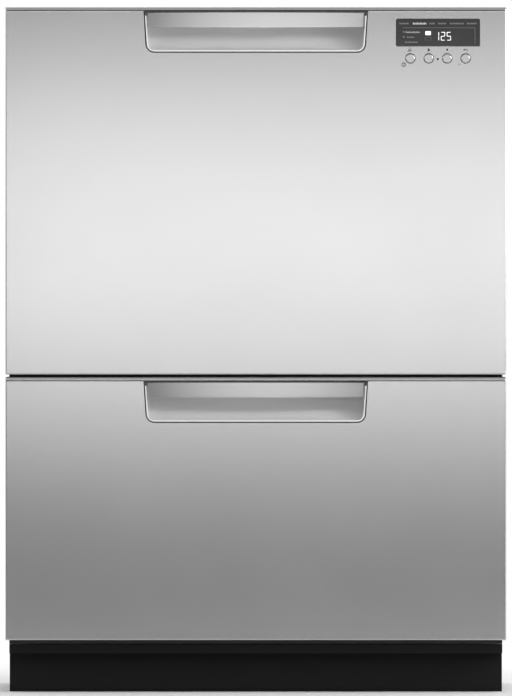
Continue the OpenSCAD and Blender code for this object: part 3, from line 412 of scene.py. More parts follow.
def sheet_steel(name, tone, roughness, mottle=0.12):
    """Zinc coated sheet with its mottled crystals and a few long rolling marks."""
    steel = Finish(name)
    crystals = steel.node("ShaderNodeTexVoronoi", Vector=steel.place, Scale=90.0, output="Color")
    grain = steel.node("ShaderNodeSeparateColor", (), crystals)
    rolling = steel.noise(1.0, 2.0, at=steel.scaled(2, 2, 220))
    dust = steel.noise(5.0, 4.0)
    shade = grain * 0.45 + rolling * 0.3 + dust * 0.25
    color = steel.between(shade, grey(tone * (1 - 1.2 * mottle)),
                          grey(tone * (1 + 0.8 * mottle)))
    gloss = grain * mottle + dust * 0.1 + (roughness - 0.1)
    return steel.surface(Base_Color=color, Metallic=0.9, Roughness=gloss,
                         Normal=steel.bump(rolling, 0.05, 0.0003))


def plastic(name, color, roughness, grain=1400.0, variation=0.05, shine=0.5):
    """Moulded plastic or paint: a fine texture, slight flow marks, and a sheen that varies."""
    made = Finish(name)
    texture = made.noise(grain, 2.0)
    flow = made.noise(6.0, 3.0)
    worn = made.noise(40.0, 4.0)
    dark = [c * (1 - variation) for c in color]
    light = [c * (1 + variation) for c in color]
    tone = made.between(flow * 0.7 + texture * 0.3, dark, light)
    gloss = worn * 0.1 + texture * 0.05 + (roughness - 0.075)
    return made.surface(Base_Color=tone, Roughness=gloss, Specular_IOR_Level=shine,
                        Normal=made.bump(texture, 0.25, 0.00012))


def smoked_glass():
    """The display window: dark, glossy, with faint dust."""
    glass = Finish("smoked_glass")
    dust = glass.noise(700.0, 3.0)
    specks = glass.ramp(dust, 0.62, 0.8)
    color = glass.between(specks, (0.038, 0.038, 0.04), (0.05, 0.05, 0.052))
    haze = glass.noise(30.0, 2.0)
    return glass.surface(Base_Color=color, Roughness=haze * 0.06 + 0.12 + specks * 0.2,
                         Coat_Weight=0.3)


def circuit_board():
    """Green board with blocks of raised tracks."""
    board = Finish("circuit_board")
    traces = board.node("ShaderNodeTexBrick", Vector=board.place, Scale=120.0, output="Fac")
    mottled = board.noise(500.0)
    color = board.between(traces * 0.5 + mottled * 0.3, (0.012, 0.1, 0.035), (0.03, 0.22, 0.09))
    return board.surface(Base_Color=color, Roughness=mottled * 0.2 + 0.3,
                         Normal=board.bump(traces, 0.2, 0.0002))


def glow(name, tone, strength):
    """Lit parts of the display; the light behind them is a little uneven."""
    lit = Finish(name)
    uneven = lit.noise(250.0, 1.0)
    color = lit.between(uneven, grey(tone * 0.9), grey(tone))
    return lit.surface(Base_Color=color, Roughness=uneven * 0.1 + 0.3, Emission_Color=color,
                       Emission_Strength=strength)


GRAIN = (6, 400, 2600)    # lines along X, for Object coordinates in metres
FINISHES = {
    "front_steel": brushed_steel("front_steel", 0.62, 0.24, GRAIN),
    "galvanised": sheet_steel("galvanised", 0.52, 0.5),
    "rail_steel": sheet_steel("rail_steel", 0.6, 0.36, mottle=0.03),
    "screw_steel": sheet_steel("screw_steel", 0.5, 0.35, mottle=0.06),
    "filter_steel": brushed_steel("filter_steel", 0.66, 0.3, (500, 20, 500)),
    "black_paint": plastic("black_paint", (0.0035, 0.004, 0.0035), 0.5, grain=900.0,
                           variation=0.2, shine=0.2),
    "black_plastic": plastic("black_plastic", (0.022, 0.022, 0.023), 0.5, variation=0.15),
    "white_plastic": plastic("white_plastic", (0.7, 0.7, 0.68), 0.4),
    "liner_plastic": plastic("liner_plastic", (0.5, 0.505, 0.51), 0.42),
    "cup_plastic": plastic("cup_plastic", (0.8, 0.8, 0.8), 0.4, variation=0.02),
    "tub_plastic": plastic("tub_plastic", (0.55, 0.56, 0.57), 0.35),
    "motor_plastic": plastic("motor_plastic", (0.05, 0.05, 0.055), 0.45),
    "basket_wire": plastic("basket_wire", (0.56, 0.57, 0.58), 0.3, grain=300.0),
    "basket_plastic": plastic("basket_plastic", (0.4, 0.41, 0.43), 0.4),
    "seal_rubber": plastic("seal_rubber", (0.012, 0.012, 0.012), 0.6, grain=2000.0,
                           variation=0.2),
    "display_glass": smoked_glass(),
    "board": circuit_board(),
}
# The handle bar's steel, with painted shade that darkens it towards its ends.
BAR_STEEL = brushed_steel("bar_steel", 0.74, 0.33, GRAIN, drawn=0.0, end_shade=0.3, half=0.13)


def soften(node, width):
    """Live modifiers that round a CAD node's sharp edges and smooth its curves; its own mesh stays.

    With no width the edges stay sharp and only the curves are smoothed.
    """
    weld = ("weld", "WELD", {"merge_threshold": MERGE})
    rounding = (
        ("plain", "DECIMATE", {"decimate_type": "DISSOLVE", "angle_limit": math.radians(0.3)}),
        ("round", "BEVEL", {"width": width, "segments": 2, "limit_method": "ANGLE",
                            "angle_limit": math.radians(35)}),
        ("shade", "WEIGHTED_NORMAL", {"weight": 80}),
    )
    crisp = (("split", "EDGE_SPLIT", {"split_angle": math.radians(30)}),)
    for name, kind, settings in (weld, *(rounding if width else crisp)):
        modifier = node.modifiers.new(name, kind)
        for key, value in settings.items():
            setattr(modifier, key, value)
    node.data.polygons.foreach_set("use_smooth", [True] * len(node.data.polygons))


# Width of the rounded edges: of some kinds of node, of some finishes, and of all others
EDGE_OF_KIND = {"spray_arm": 2.4 * MM, "lid": 0.8 * MM, "impeller": 0.5 * MM, "tub": 0,
                "cutlery_basket": 0.3 * MM}
EDGE_OF_SLOT = {"galvanised": 0.25 * MM, "rail_steel": 0.3 * MM, "seal_rubber": 0.5 * MM}
EDGE = 0.4 * MM
# Nodes that pieces of this script replace, beside the wire baskets
REPLACED = ("front_panel", "kickboard", "handle_bar", "handle_cup", "display_window", "button")
for name, node in frame["nodes"].items():
    slot = SLOT_OF[name]
    node.data.materials.clear()
    node.data.materials.append(FINISHES[slot])
    kind = name.partition("_")[2]
    if kind != "basket" and not any(word in name for word in REPLACED):
        soften(node, EDGE_OF_KIND.get(kind, EDGE_OF_SLOT.get(slot, EDGE)))


# ---------- drawer fronts ----------

FACE_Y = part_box("upper_front_panel")[0].y
TOP_OF = {"upper": 820 * MM, "lower": 377.5 * MM}    # the fronts' tops
ROLL = 4.2 * MM              # radius of a front's rolled top edge
SIDE_BEND = 1.6 * MM         # and of its bent sides and foot
SKIN = 1.0 * MM              # thickness of the steel
SKIN_EDGE = 0.35 * MM        # its cut edges are rounded by this much
GROOVE_Z = (-5.2 * MM, -4.2 * MM)    # line under the rolled edge, from the top of a front
GROOVE_IN = 1.4 * MM         # its depth
GROOVE_END = 1.0 * MM        # it stops this far from the sides
STRIP_OVER = 0.7 * MM        # the strip behind it reaches this far above and below
STRIP_BACK = 1.3 * MM        # and this far behind the steel
STRIP_GAP = 0.1 * MM         # and clears the steel by this
LIP_LOW = 1.3 * MM           # height of the lip under the groove
LIP_OUT = 0.045 * MM         # and how far it stands out
HANDLE_DROP = 5.0 * MM       # top of the handle opening, from the top of its front
HANDLE_H = 50.2 * MM
HANDLE_HALF = 134.3 * MM
HANDLE_TAPER = 3.0 * MM      # each side leans in by this towards the foot
HANDLE_R = 10.0 * MM         # its lower corners
HANDLE_CUT = 6.0 * MM        # depth to which the opening is cut


def handle_plate(top, inset, at):
    """A plate of the handle opening's outline, inset all round."""
    z0, z1 = top - HANDLE_DROP - HANDLE_H + inset, top - HANDLE_DROP - inset
    half = HANDLE_HALF - inset
    return rounded_plate((-half, z0), (half, z1), HANDLE_R - inset, 8,
                         lambda p: p.z < (z0 + z1) / 2, pull=HANDLE_TAPER, at=at)


def folded_sheet(node):
    """The front's steel sheet: its edges are bent back all round, the top one rolled wider."""
    low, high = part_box(node)
    piece = block(low, high)

    def at(value, edge):
        return abs(value - edge) < MERGE

    with Editing(piece) as edit:
        edit.edges(lambda a, b: all(at(p.y, low.y) and at(p.z, high.z) for p in (a, b)))
        edit.bevel(ROLL, 9)
        edit.faces(lambda c, n: n.y > 0.9)
        bpy.ops.mesh.delete(type="FACE")
        edit.edges(lambda a, b: not (at(a.y, high.y) and at(b.y, high.y)) and (
            at(a.x, b.x) or all(at(p.y, low.y) and at(p.z, low.z) for p in (a, b))))
        edit.bevel(SIDE_BEND, 6)
    return modify(piece, "SOLIDIFY", thickness=SKIN, offset=-1), low, high


def raise_lip(piece, high):
    """The strip under the groove stands out a hair, and so catches the light."""
    edge_z = high.z + GROOVE_Z[0]
    with Editing(piece) as edit:
        edit.slice(edge_z - LIP_LOW)
        edit.points(lambda p: abs(p.z - edge_z) < 0.05 * MM and p.y < FACE_Y + 0.1 * MM)
        bpy.ops.transform.translate(value=(0, -LIP_OUT, 0))


def window_tool(face):
    """What is cut away for the display: an opening with a slanting mouth."""
    x0, x1, z0, z1 = WINDOW
    over = 0.2 * MM
    reach = WINDOW_MOUTH + over
    piece = rounded_plate((x0 - reach, z0 - reach), (x1 + reach, z1 + reach), 1.8 * MM, 4,
                          at=face - over)
    deepen(piece, (0, reach, 0))
    narrow, flat = (side / (side + 2 * reach) for side in (x1 - x0, z1 - z0))
    with Editing(piece) as edit:
        edit.points(lambda p: p.y > face)
        bpy.ops.transform.resize(value=(narrow, 1, flat))
        edit.faces(lambda c, n: n.y > 0.9)
        edit.extrude((0, 5 * MM, 0))
    return tidy(piece)


def make_front(drawer):
    """The folded steel front with its groove and openings; the upper one has the controls' too."""
    node = drawer + "_front_panel"
    piece, low, high = folded_sheet(node)
    groove = block((low.x + GROOVE_END, low.y - OVER, high.z + GROOVE_Z[0]),
                   (high.x - GROOVE_END, low.y + GROOVE_IN, high.z + GROOVE_Z[1]))
    opening = deepen(handle_plate(high.z, 0, low.y - OVER), (0, OVER + HANDLE_CUT, 0))
    shape(piece, groove)
    shape(piece, opening)
    if drawer == "upper":
        shape(piece, window_tool(low.y))
        for x in BUTTON_XS:
            hole = start("cylinder", vertices=48, radius=BUTTON_R + BUTTON_GAP, depth=2 * OVER,
                         location=(x, low.y, BUTTON_Z), rotation=UPRIGHT)
            shape(piece, hole)
    round_edges(piece, SKIN_EDGE, angle=60)
    raise_lip(piece, high)
    tidy(piece)
    return finish(piece, drawer + "_front_skin", node, angle=28)


def make_groove_strip(drawer):
    """The black strip behind the groove, which closes it; its black is painted shade for the shadow
    deep in the groove.
    """
    node = drawer + "_front_panel"
    low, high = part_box(node)
    inset = SKIN + STRIP_GAP
    piece = block((low.x + inset, low.y + inset, high.z + GROOVE_Z[0] - STRIP_OVER),
                  (high.x - inset, low.y + SKIN + STRIP_BACK, high.z + GROOVE_Z[1] + STRIP_OVER))
    round_edges(piece, 0.25 * MM)
    tidy(piece)
    # Painted shade: the strip is black so that the groove always reads as a dark line.
    return finish(piece, drawer + "_groove_strip", node, FINISHES["seal_rubber"], replaces=False)


# ---------- handles ----------

BAR_TOP = -7.0 * MM       # of the handle bar, from the top of its front
BAR_FOOT = -25.2 * MM
BAR_HALF = 129.6 * MM
BAR_T = 2.6 * MM
BAR_OUT = 3.9 * MM        # how far it bows out in the middle
BAR_IN = 3.8 * MM         # and lies back at its ends
BAR_RISE = 0.8 * MM       # its lower edge rises towards its ends
BAR_LEAN = 0.35 * MM      # its top leans out
SCOOP_Z = -10.8 * MM      # middle of the hollow's round, from the top of the front
SCOOP_Y = -0.9 * MM       # and from its face
SCOOP_R = 41.4 * MM
CUP_WALL = 2.0 * MM
CUP_DEEP = 46.0 * MM
CUP_FILLET = 6.0 * MM     # round of the hollow's ends
CUP_FACE = 0.1 * MM       # the cup's lip lies this far behind the face
CUP_GAP = 1.5 * MM        # between the steel and the cup's lip
CUP_LIP = 1.5 * MM        # width of the lip
ROOM_SIDE, ROOM_FOOT, ROOM_IN = 1.0 * MM, 0.6 * MM, 8.5 * MM    # space round and behind the bar


def make_bar(drawer):
    """The bowed bar across the top of the handle opening."""
    top = TOP_OF[drawer]
    z0, z1 = top + BAR_FOOT, top + BAR_TOP
    piece = block((-BAR_HALF, FACE_Y, z0), (BAR_HALF, FACE_Y + BAR_T, z1))
    with Editing(piece) as edit:
        edit.edges(lambda a, b: abs(a.x - b.x) > BAR_HALF)
        bpy.ops.mesh.subdivide(number_cuts=31)
        edit.slice(z0 + 2 * MM)
    for point in piece.data.vertices:
        along = point.co.x / BAR_HALF
        point.co.y += (BAR_OUT + BAR_IN) * along ** 2 - BAR_OUT
        share = (point.co.z - z1) / (z0 - z1)
        point.co.y += BAR_LEAN * share
        point.co.z += BAR_RISE * along ** 2 * share
        point.co.x -= HANDLE_TAPER * along * share * (z1 - z0) / HANDLE_H
    round_edges(piece, 0.6 * MM, segments=4, angle=50)
    tidy(piece)
    return finish(piece, drawer + "_bar", drawer + "_handle_bar", BAR_STEEL)


def scoop(top, radius, half, fillet):
    """The shape of the hollow: the lower half of a roller along X, its ends rounded by fillet."""
    piece = start("cylinder", vertices=96, radius=radius, depth=2 * half,
                  location=(0, FACE_Y + SCOOP_Y, top + SCOOP_Z), rotation=(0, math.radians(90), 0))
    with Editing(piece) as edit:
        if fillet:
            edit.faces(lambda c, n: abs(n.x) > 0.9)
            edit.rim()
            edit.bevel(fillet, 6)
        edit.slice(top + SCOOP_Z, clear_outer=True, use_fill=True)
    return tidy(piece)


def make_cup(drawer):
    """The moulded cup behind the handle opening, with its scooped hollow."""
    top = TOP_OF[drawer]
    inner = CUP_GAP + CUP_LIP
    piece = deepen(handle_plate(top, CUP_GAP, FACE_Y + CUP_FACE), (0, CUP_DEEP, 0))
    shape(piece, scoop(top, SCOOP_R + CUP_WALL, HANDLE_HALF + OVER, 0), "INTERSECT")
    hollow = scoop(top, SCOOP_R, HANDLE_HALF - inner, CUP_FILLET)
    mouth = deepen(handle_plate(top, inner, FACE_Y - OVER), (0, 7 * OVER, 0))
    room = block((-BAR_HALF - ROOM_SIDE, FACE_Y - OVER, top + BAR_FOOT - ROOM_FOOT),
                 (BAR_HALF + ROOM_SIDE, FACE_Y + ROOM_IN, top))
    shape(piece, shape(hollow, mouth, "INTERSECT"))
    shape(piece, room)
    round_edges(piece, 0.5 * MM, angle=40)
    tidy(piece)
    return finish(piece, drawer + "_cup", drawer + "_handle_cup")


# ---------- controls ----------

WINDOW_X, WINDOW_Z = 217.8 * MM, 789.2 * MM          # middle of the display
WINDOW_X_HALF, WINDOW_Z_HALF = 50.3 * MM, 16.3 * MM    # of its opening
WINDOW = (WINDOW_X - WINDOW_X_HALF, WINDOW_X + WINDOW_X_HALF,
          WINDOW_Z - WINDOW_Z_HALF, WINDOW_Z + WINDOW_Z_HALF)
WINDOW_MOUTH = 0.8 * MM      # width and depth of the opening's slanting mouth
PANE_Y = FACE_Y + 1.0 * MM
BUTTON_XS = [(184.8 + 22.0 * i) * MM for i in range(4)]
BUTTON_Z = 758.1 * MM
BUTTON_R = 5.5 * MM
BUTTON_OUT, BUTTON_IN = 1.2 * MM, 2.0 * MM    # how far a button reaches out of the face, and in
BUTTON_ROUND = 1.1 * MM
BUTTON_GAP = 0.7 * MM        # between a button and its hole
STEM_R = 2.0 * MM
INK = 0.06 * MM              # height of a printed or lit mark


def make_window():
    """The dark window of the display, its edge a little rounded."""
    low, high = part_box("display_window")
    piece = rounded_plate((low.x, low.z), (high.x, high.z), 1.0 * MM, 4, at=PANE_Y)
    deepen(piece, (0, high.y - PANE_Y, 0))
    with Editing(piece) as edit:
        edit.faces(lambda c, n: n.y < -0.9)
        edit.rim()
        edit.bevel(0.35 * MM, 3)
    tidy(piece)
    return finish(piece, "display_pane", "display_window")


def make_button(number, x):
    """A pressed steel button with a broad round edge, and its stem."""
    node = f"button_{number}"
    low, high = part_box(node)
    piece = start("cylinder", vertices=64, radius=BUTTON_R, depth=BUTTON_OUT + BUTTON_IN,
                  location=(x, FACE_Y + (BUTTON_IN - BUTTON_OUT) / 2, BUTTON_Z), rotation=UPRIGHT)
    with Editing(piece) as edit:
        edit.faces(lambda c, n: n.y < -0.9)
        edit.rim()
        edit.bevel(BUTTON_ROUND, 6)
        edit.faces(lambda c, n: n.y > 0.9)
        bpy.ops.mesh.inset(thickness=BUTTON_R - STEM_R)
        edit.extrude((0, high.y - FACE_Y - BUTTON_IN, 0))
    tidy(piece)
    return finish(piece, f"button_cap_{number}", node)


# Everything lit is measured in millimetres, from the middle of the window.

def lit_bar(x, z, width, height):
    """A bar of light on the window, its corners a little rounded."""
    low = (WINDOW_X + (x - width / 2) * MM, WINDOW_Z + (z - height / 2) * MM)
    high = (WINDOW_X + (x + width / 2) * MM, WINDOW_Z + (z + height / 2) * MM)
    corner = min(width, height) * 0.16 * MM
    return deepen(rounded_plate(low, high, corner, 2, at=PANE_Y - INK), (0, 1.3 * INK, 0))


def lit_frame(x, z, width, height, line):
    """A thin outline of light."""
    bars = [lit_bar(x, z + s * (height - line) / 2, width, line) for s in (-1, 1)]
    bars += [lit_bar(x + s * (width - line) / 2, z, line, height) for s in (-1, 1)]
    return bars


def lit_digit(x, z, segments, width=5.0, height=10.2, line=0.78):
    """A seven-segment figure: segments a to f run clockwise from the top, g is the middle."""
    half, quarter = height / 2, height / 4
    places = {
        "a": (0, half - line / 2, width - 1.2 * line, line),
        "b": (width / 2 - line / 2, quarter, line, half - 0.8 * line),
        "c": (width / 2 - line / 2, -quarter, line, half - 0.8 * line),
        "d": (0, -half + line / 2, width - 1.2 * line, line),
        "e": (-width / 2 + line / 2, -quarter, line, half - 0.8 * line),
        "f": (-width / 2 + line / 2, quarter, line, half - 0.8 * line),
        "g": (0, 0, width - 1.2 * line, line),
    }
    return [lit_bar(x + places[s][0], z + places[s][1], *places[s][2:]) for s in segments]


def lit(name, bars, material):
    """Joins bars of one brightness to a piece on the window."""
    piece = tidy(join(*bars))
    return finish(piece, name, "display_window", material, replaces=False)


def lit_word(x, z, width, height):
    """A label: upright strokes of light, every third one taller, that look like words from afar."""
    count = max(2, round(width / 1.45))
    pitch = width / count
    strokes = []
    for i in range(count):
        drop, tall = (0.0, 1.0) if i % 3 == 0 else (0.12, 0.72)
        strokes.append(lit_bar(x - width / 2 + pitch * (i + 0.5), z - drop * height,
                               0.62 * pitch, tall * height))
    return strokes


def make_display():
    """What the window shows: a row and a column of labels, rules, a level mark and a figure."""
    row_z = 10.7
    lit("display_label", lit_word(-21.9, row_z, 16.4, 2.5), glow("label_light", 0.42, 0.8))
    lit("display_column", [
        *lit_word(-30.1, 0.3, 17.2, 2.0),
        lit_bar(-40.9, 0.5, 1.1, 1.1), lit_bar(-40.9, -5.4, 1.1, 1.1),
    ], glow("column_light", 0.28, 0.7))
    lit("display_dim_labels", [
        *lit_word(-40.5, row_z, 11.2, 2.0), *lit_word(-6.9, row_z, 6.7, 2.0),
        *lit_word(4.8, row_z, 9.6, 2.0), *lit_word(22.7, row_z, 16.7, 2.0),
        *lit_word(40.5, row_z, 12.0, 2.0),
        *lit_word(-32.7, -5.7, 9.0, 1.8), *lit_word(-32.0, -11.6, 15.0, 1.8),
    ], glow("dim_label_light", 0.15, 0.6))
    lit("display_rules", [
        lit_bar(1.3, 5.5, 87.0, 0.5), lit_bar(44.3, -4.2, 0.5, 19.4),
        *lit_frame(-11.6, -7.6, 7.9, 3.6, 0.3),
    ], glow("rule_light", 0.1, 0.6))
    lit("display_level", [lit_bar(-11.8, -0.9, 6.6, 4.7)], glow("level_light", 0.8, 1.0))
    lit("display_digits", [
        *lit_digit(0.2, -4.6, "bc", width=2.2), *lit_digit(6.0, -4.6, "abged"),
        *lit_digit(13.0, -4.6, "afgcd"),
    ], glow("digit_light", 0.7, 1.0))


def ink(name, tone):
    """Printed marks beside the buttons: a dull ink with worn specks."""
    made = Finish(name)
    wear = made.noise(900.0, 3.0)
    color = made.between(wear, grey(tone * 0.85), grey(tone * 1.15))
    return made.surface(Base_Color=color, Roughness=wear * 0.2 + 0.4)


# Everything printed is placed in millimetres, in X and Z.

def printed(name, piece, material):
    """A printed mark on the upper front."""
    return finish(tidy(piece), name, "upper_front_panel", material, replaces=False)


def print_disc(x, z, radius, sides, turn=0.0, squash=1.0):
    """A thin printed disc, or with few sides a triangle or diamond."""
    radius *= MM
    piece = start("cylinder", vertices=sides, radius=radius, depth=INK * 2, rotation=UPRIGHT)
    with Editing(piece) as edit:
        edit.faces(lambda c, n: n.y < -0.9)
        bpy.ops.mesh.inset(thickness=radius * 0.12)
    piece.rotation_euler = (0, math.radians(turn), 0)
    settle(piece)
    piece.scale = (squash, 1, 1)
    piece.location = (x * MM, FACE_Y, z * MM)
    return settle(piece)


def print_block(x, z, width, height, radius, front=INK, back=INK):
    """A flat printed rectangle with round corners, or a tool that cuts one away."""
    low = ((x - width / 2) * MM, (z - height / 2) * MM)
    high = ((x + width / 2) * MM, (z + height / 2) * MM)
    piece = rounded_plate(low, high, radius * MM, 3, at=FACE_Y - front)
    return deepen(piece, (0, front + back, 0))


def make_symbols():
    """The printed marks by the buttons: lock, wedge, drop, start and pause; dot, dose and delay."""
    dark, pale, mid = ink("dark_ink", 0.035), ink("pale_ink", 0.38), ink("grey_ink", 0.22)
    through = {"front": 1 * MM, "back": 2 * MM}
    z = 768.4
    shackle = print_block(184.1, z + 1.6, 2.6, 2.8, 1.2)
    shape(shackle, print_block(184.1, z + 1.3, 1.4, 2.2, 0.6, **through))
    printed("lock_symbol", join(shackle, print_block(184.1, z - 1.0, 4.2, 3.2, 0.4)), mid)
    printed("wedge_symbol", print_disc(206.7, z - 0.2, 2.6, 3, turn=90, squash=0.9), dark)
    printed("drop_symbol", print_disc(228.8, z, 1.8, 4, squash=0.75), dark)
    printed("start_symbol", print_disc(249.4, z, 1.7, 3, turn=90), dark)
    bars = [print_block(x, z, 0.6, 2.8, 0.2) for x in (251.6, 252.8)]
    printed("pause_symbol", join(*bars), dark)
    printed("ready_dot", print_disc(217.6, 757.3, 1.35, 24), dark)
    dose = print_disc(176.9, 750.6, 2.9, 32)
    shape(dose, print_block(176.9, 750.6, 3.6, 1.0, 0.4, **through))
    printed("dose_symbol", dose, mid)
    printed("delay_symbol", print_disc(243.3, 750.9, 1.7, 24, squash=0.8), pale)


# ---------- kickboard ----------

KICK_FOOT = 0.3 * MM        # clearance over the floor
KICK_TOP = 57.6 * MM
KICK_FOLD = 46.6 * MM       # where its upper part folds forward, under the chassis brace
KICK_FRONT_Y = -261.6 * MM
KICK_SHEET = 1.2 * MM
FOOT_STRIP_TOP, FOOT_STRIP_OUT = 3.2 * MM, 0.8 * MM    # the soft strip along its foot


def make_kickboard():
    """The black plinth, its upper edge folded forward and up before the brace."""
    low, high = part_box("kickboard")
    piece = block((low.x, low.y, KICK_FOOT), (high.x, high.y, KICK_FOLD))
    with Editing(piece) as edit:
        edit.faces(lambda c, n: n.z > 0.9)
        edit.extrude((0, 0, KICK_SHEET))
        edit.faces(lambda c, n: n.y < -0.9 and c.z > KICK_FOLD)
        edit.extrude((0, KICK_FRONT_Y + KICK_SHEET - low.y, 0))
        edit.extrude((0, -KICK_SHEET, 0))
        edit.faces(lambda c, n: n.z > 0.9 and c.y < KICK_FRONT_Y + KICK_SHEET)
        edit.extrude((0, 0, KICK_TOP - KICK_FOLD - KICK_SHEET))
        edit.slice(FOOT_STRIP_TOP)
        edit.faces(lambda c, n: n.y < -0.9 and c.z < FOOT_STRIP_TOP)
        edit.extrude((0, -FOOT_STRIP_OUT, 0))
    round_edges(piece, 0.5 * MM, angle=40)
    tidy(piece)
    return finish(piece, "plinth", "kickboard")


for drawer in ("upper", "lower"):
    make_front(drawer)
    make_groove_strip(drawer)
    make_bar(drawer)
    make_cup(drawer)
make_window()
for number, x in enumerate(BUTTON_XS, start=1):
    make_button(number, x)
make_display()
make_symbols()
make_kickboard()


# ---------- baskets ----------

# Heights of a basket's lowest wires and of its rim
BASKET_Z = {"upper": (499.0 * MM, 636.4 * MM), "lower": (137.5 * MM, 238.9 * MM)}
BASKET_Y = 29.5 * MM                                     # its middle
BASKET_X_HALF, BASKET_Y_HALF = 245.4 * MM, 199.4 * MM    # to the middle of its rim wire
WIRE_R, RIM_R, TINE_R = 1.9 * MM, 2.6 * MM, 1.6 * MM
WIRE_CROSS = 3.3 * MM                                    # between the middles of crossing wires
RIM_CORNER, WIRE_CORNER = 19.4 * MM, 18 * MM
LOW_LOOP, MID_LOOP = 17 * MM, 6 * MM                     # above the floor, above half height
FLOOR_X_HALF, FLOOR_Y_HALF = 220.1 * MM, 174.1 * MM      # to the outermost upright wires
LONG_WIRES, CROSS_WIRES = 11, 9
TINE_X, TINE_ROWS, TINE_ROW_PITCH = -150 * MM, 5, 62 * MM
TINE_PITCH, TINES, TINE_H = 26 * MM, 11, 62 * MM
TINE_FOOT = 7.3 * MM                # height of the tines' foot wires above the floor wires
TINE_END = 6 * MM                   # these reach this far past the last tines
RACK_EYE_Y = 132 * MM               # the cup rack's eyes hold the rim here
EYE_CLEAR = 9 * MM                  # and wires nearer than this stay below the rim


def bent_wire(half, foot, top, y=None):
    """One wire, up a side, over the floor and up the other: across at y, or from front to back."""
    piece = sheet((0, 0, (foot + top) / 2), 2 * half, top - foot, UPRIGHT)
    with Editing(piece) as edit:
        edit.points(lambda p: p.z < (foot + top) / 2)
        edit.bevel(WIRE_CORNER, 5, "VERTICES")
        edit.everything()
        bpy.ops.mesh.delete(type="ONLY_FACE")
        edit.edges(lambda a, b: a.z > top - MERGE and b.z > top - MERGE)
        bpy.ops.mesh.delete(type="EDGE")
    if y is None:
        piece.rotation_euler = (0, 0, math.radians(90))
    piece.location = (0, BASKET_Y + (y or 0), 0)
    return wire(settle(piece), WIRE_R, capped=True)


def make_basket(drawer):
    """The coated wire basket: bent wires both ways, three loops, and rows of plate tines."""
    foot, rim = BASKET_Z[drawer]
    mid = (foot + rim) / 2 + MID_LOOP
    x_half, y_half = BASKET_X_HALF - WIRE_CROSS, BASKET_Y_HALF - WIRE_CROSS
    low = (-BASKET_X_HALF, BASKET_Y - BASKET_Y_HALF)
    high = (BASKET_X_HALF, BASKET_Y + BASKET_Y_HALF)
    wires = [wire_loop(low, high, z, RIM_CORNER, radius)
             for z, radius in ((foot + LOW_LOOP, WIRE_R), (mid, WIRE_R), (rim, RIM_R))]
    step = 2 * FLOOR_X_HALF / (LONG_WIRES - 1)
    long_wire = bent_wire(y_half, foot, rim)
    long_wire.location.x = -FLOOR_X_HALF
    wires.append(repeat(settle(long_wire), LONG_WIRES, (step, 0, 0)))
    for i in range(CROSS_WIRES):
        y = -FLOOR_Y_HALF + 2 * FLOOR_Y_HALF * i / (CROSS_WIRES - 1)
        near_eye = abs(abs(y) - RACK_EYE_Y) < EYE_CLEAR
        wires.append(bent_wire(x_half, foot + WIRE_CROSS, mid if near_eye else rim, y))
    reach = TINE_PITCH * (TINES - 1) / 2
    z = foot + TINE_FOOT
    tine = rod((TINE_X, BASKET_Y - reach, z), (TINE_X, BASKET_Y - reach, z + TINE_H), TINE_R)
    tines = repeat(tine, TINES, (0, TINE_PITCH, 0))
    foot_wire = rod((TINE_X, BASKET_Y - reach - TINE_END, z),
                    (TINE_X, BASKET_Y + reach + TINE_END, z), WIRE_R)
    wires.append(repeat(join(tines, foot_wire), TINE_ROWS, (TINE_ROW_PITCH, 0, 0)))
    piece = tidy(join(*wires))
    return finish(piece, drawer + "_wire_basket", drawer + "_basket", angle=50)


for drawer in ("upper", "lower"):
    make_basket(drawer)


# ---------- studio ----------

FRONT_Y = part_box("upper_front_panel")[0].y
PHOTO_SCALE = 1.1955 * MM        # one pixel of the photograph at the fronts
PHOTO_H = 696
FLOOR_ROW = 692.5                # the row where the machine stands
MIDDLE_SHIFT = 0.2               # pixels from the machine's middle to the picture's
CAMERA_DISTANCE = 20.0
FLOOR_R = 8.0
FLOOR_NEAR, FLOOR_FAR = 0.8, 2.6    # from the middle, where the floor turns to white light
HORIZON = (0.03, 0.2)            # the room dims between these heights, as sines of the angle
SKY = 0.5                        # its strength overhead
WALL_Y, WALL_W, WALL_H = -2.2, 6.0, 1.2    # the dark wall that faces the machine
APRON_Y, APRON_Z = -1.15, 2 * MM    # the dark sheet over the floor that only reflections see, a painted reflection, from that wall to here
DARK = 0.03                      # tone of both


def camera():
    """Straight on and far away, as the photograph's nearly parallel view."""
    data = bpy.data.cameras.new("camera")
    data.sensor_width = 36
    data.lens = data.sensor_width * CAMERA_DISTANCE / (PHOTO_H * PHOTO_SCALE)
    data.clip_end = 200
    made = bpy.data.objects.new("camera", data)
    made.location = (MIDDLE_SHIFT * PHOTO_SCALE, FRONT_Y - CAMERA_DISTANCE,
                     (FLOOR_ROW - PHOTO_H / 2) * PHOTO_SCALE)
    made.rotation_euler = UPRIGHT
    bpy.context.scene.collection.objects.link(made)
    bpy.context.scene.camera = made


def lamp(name, place, target, width, height, power):
    """A soft box facing a target; the camera doesn't see it."""
    data = bpy.data.lights.new(name, "AREA")
    data.shape = "RECTANGLE"
    data.size, data.size_y = width, height
    data.energy = power
    made = bpy.data.objects.new(name, data)
    made.location = place
    made.rotation_euler = (Vector(target) - Vector(place)).to_track_quat("-Z", "Y").to_euler()
    made.visible_camera = False
    bpy.context.scene.collection.objects.link(made)


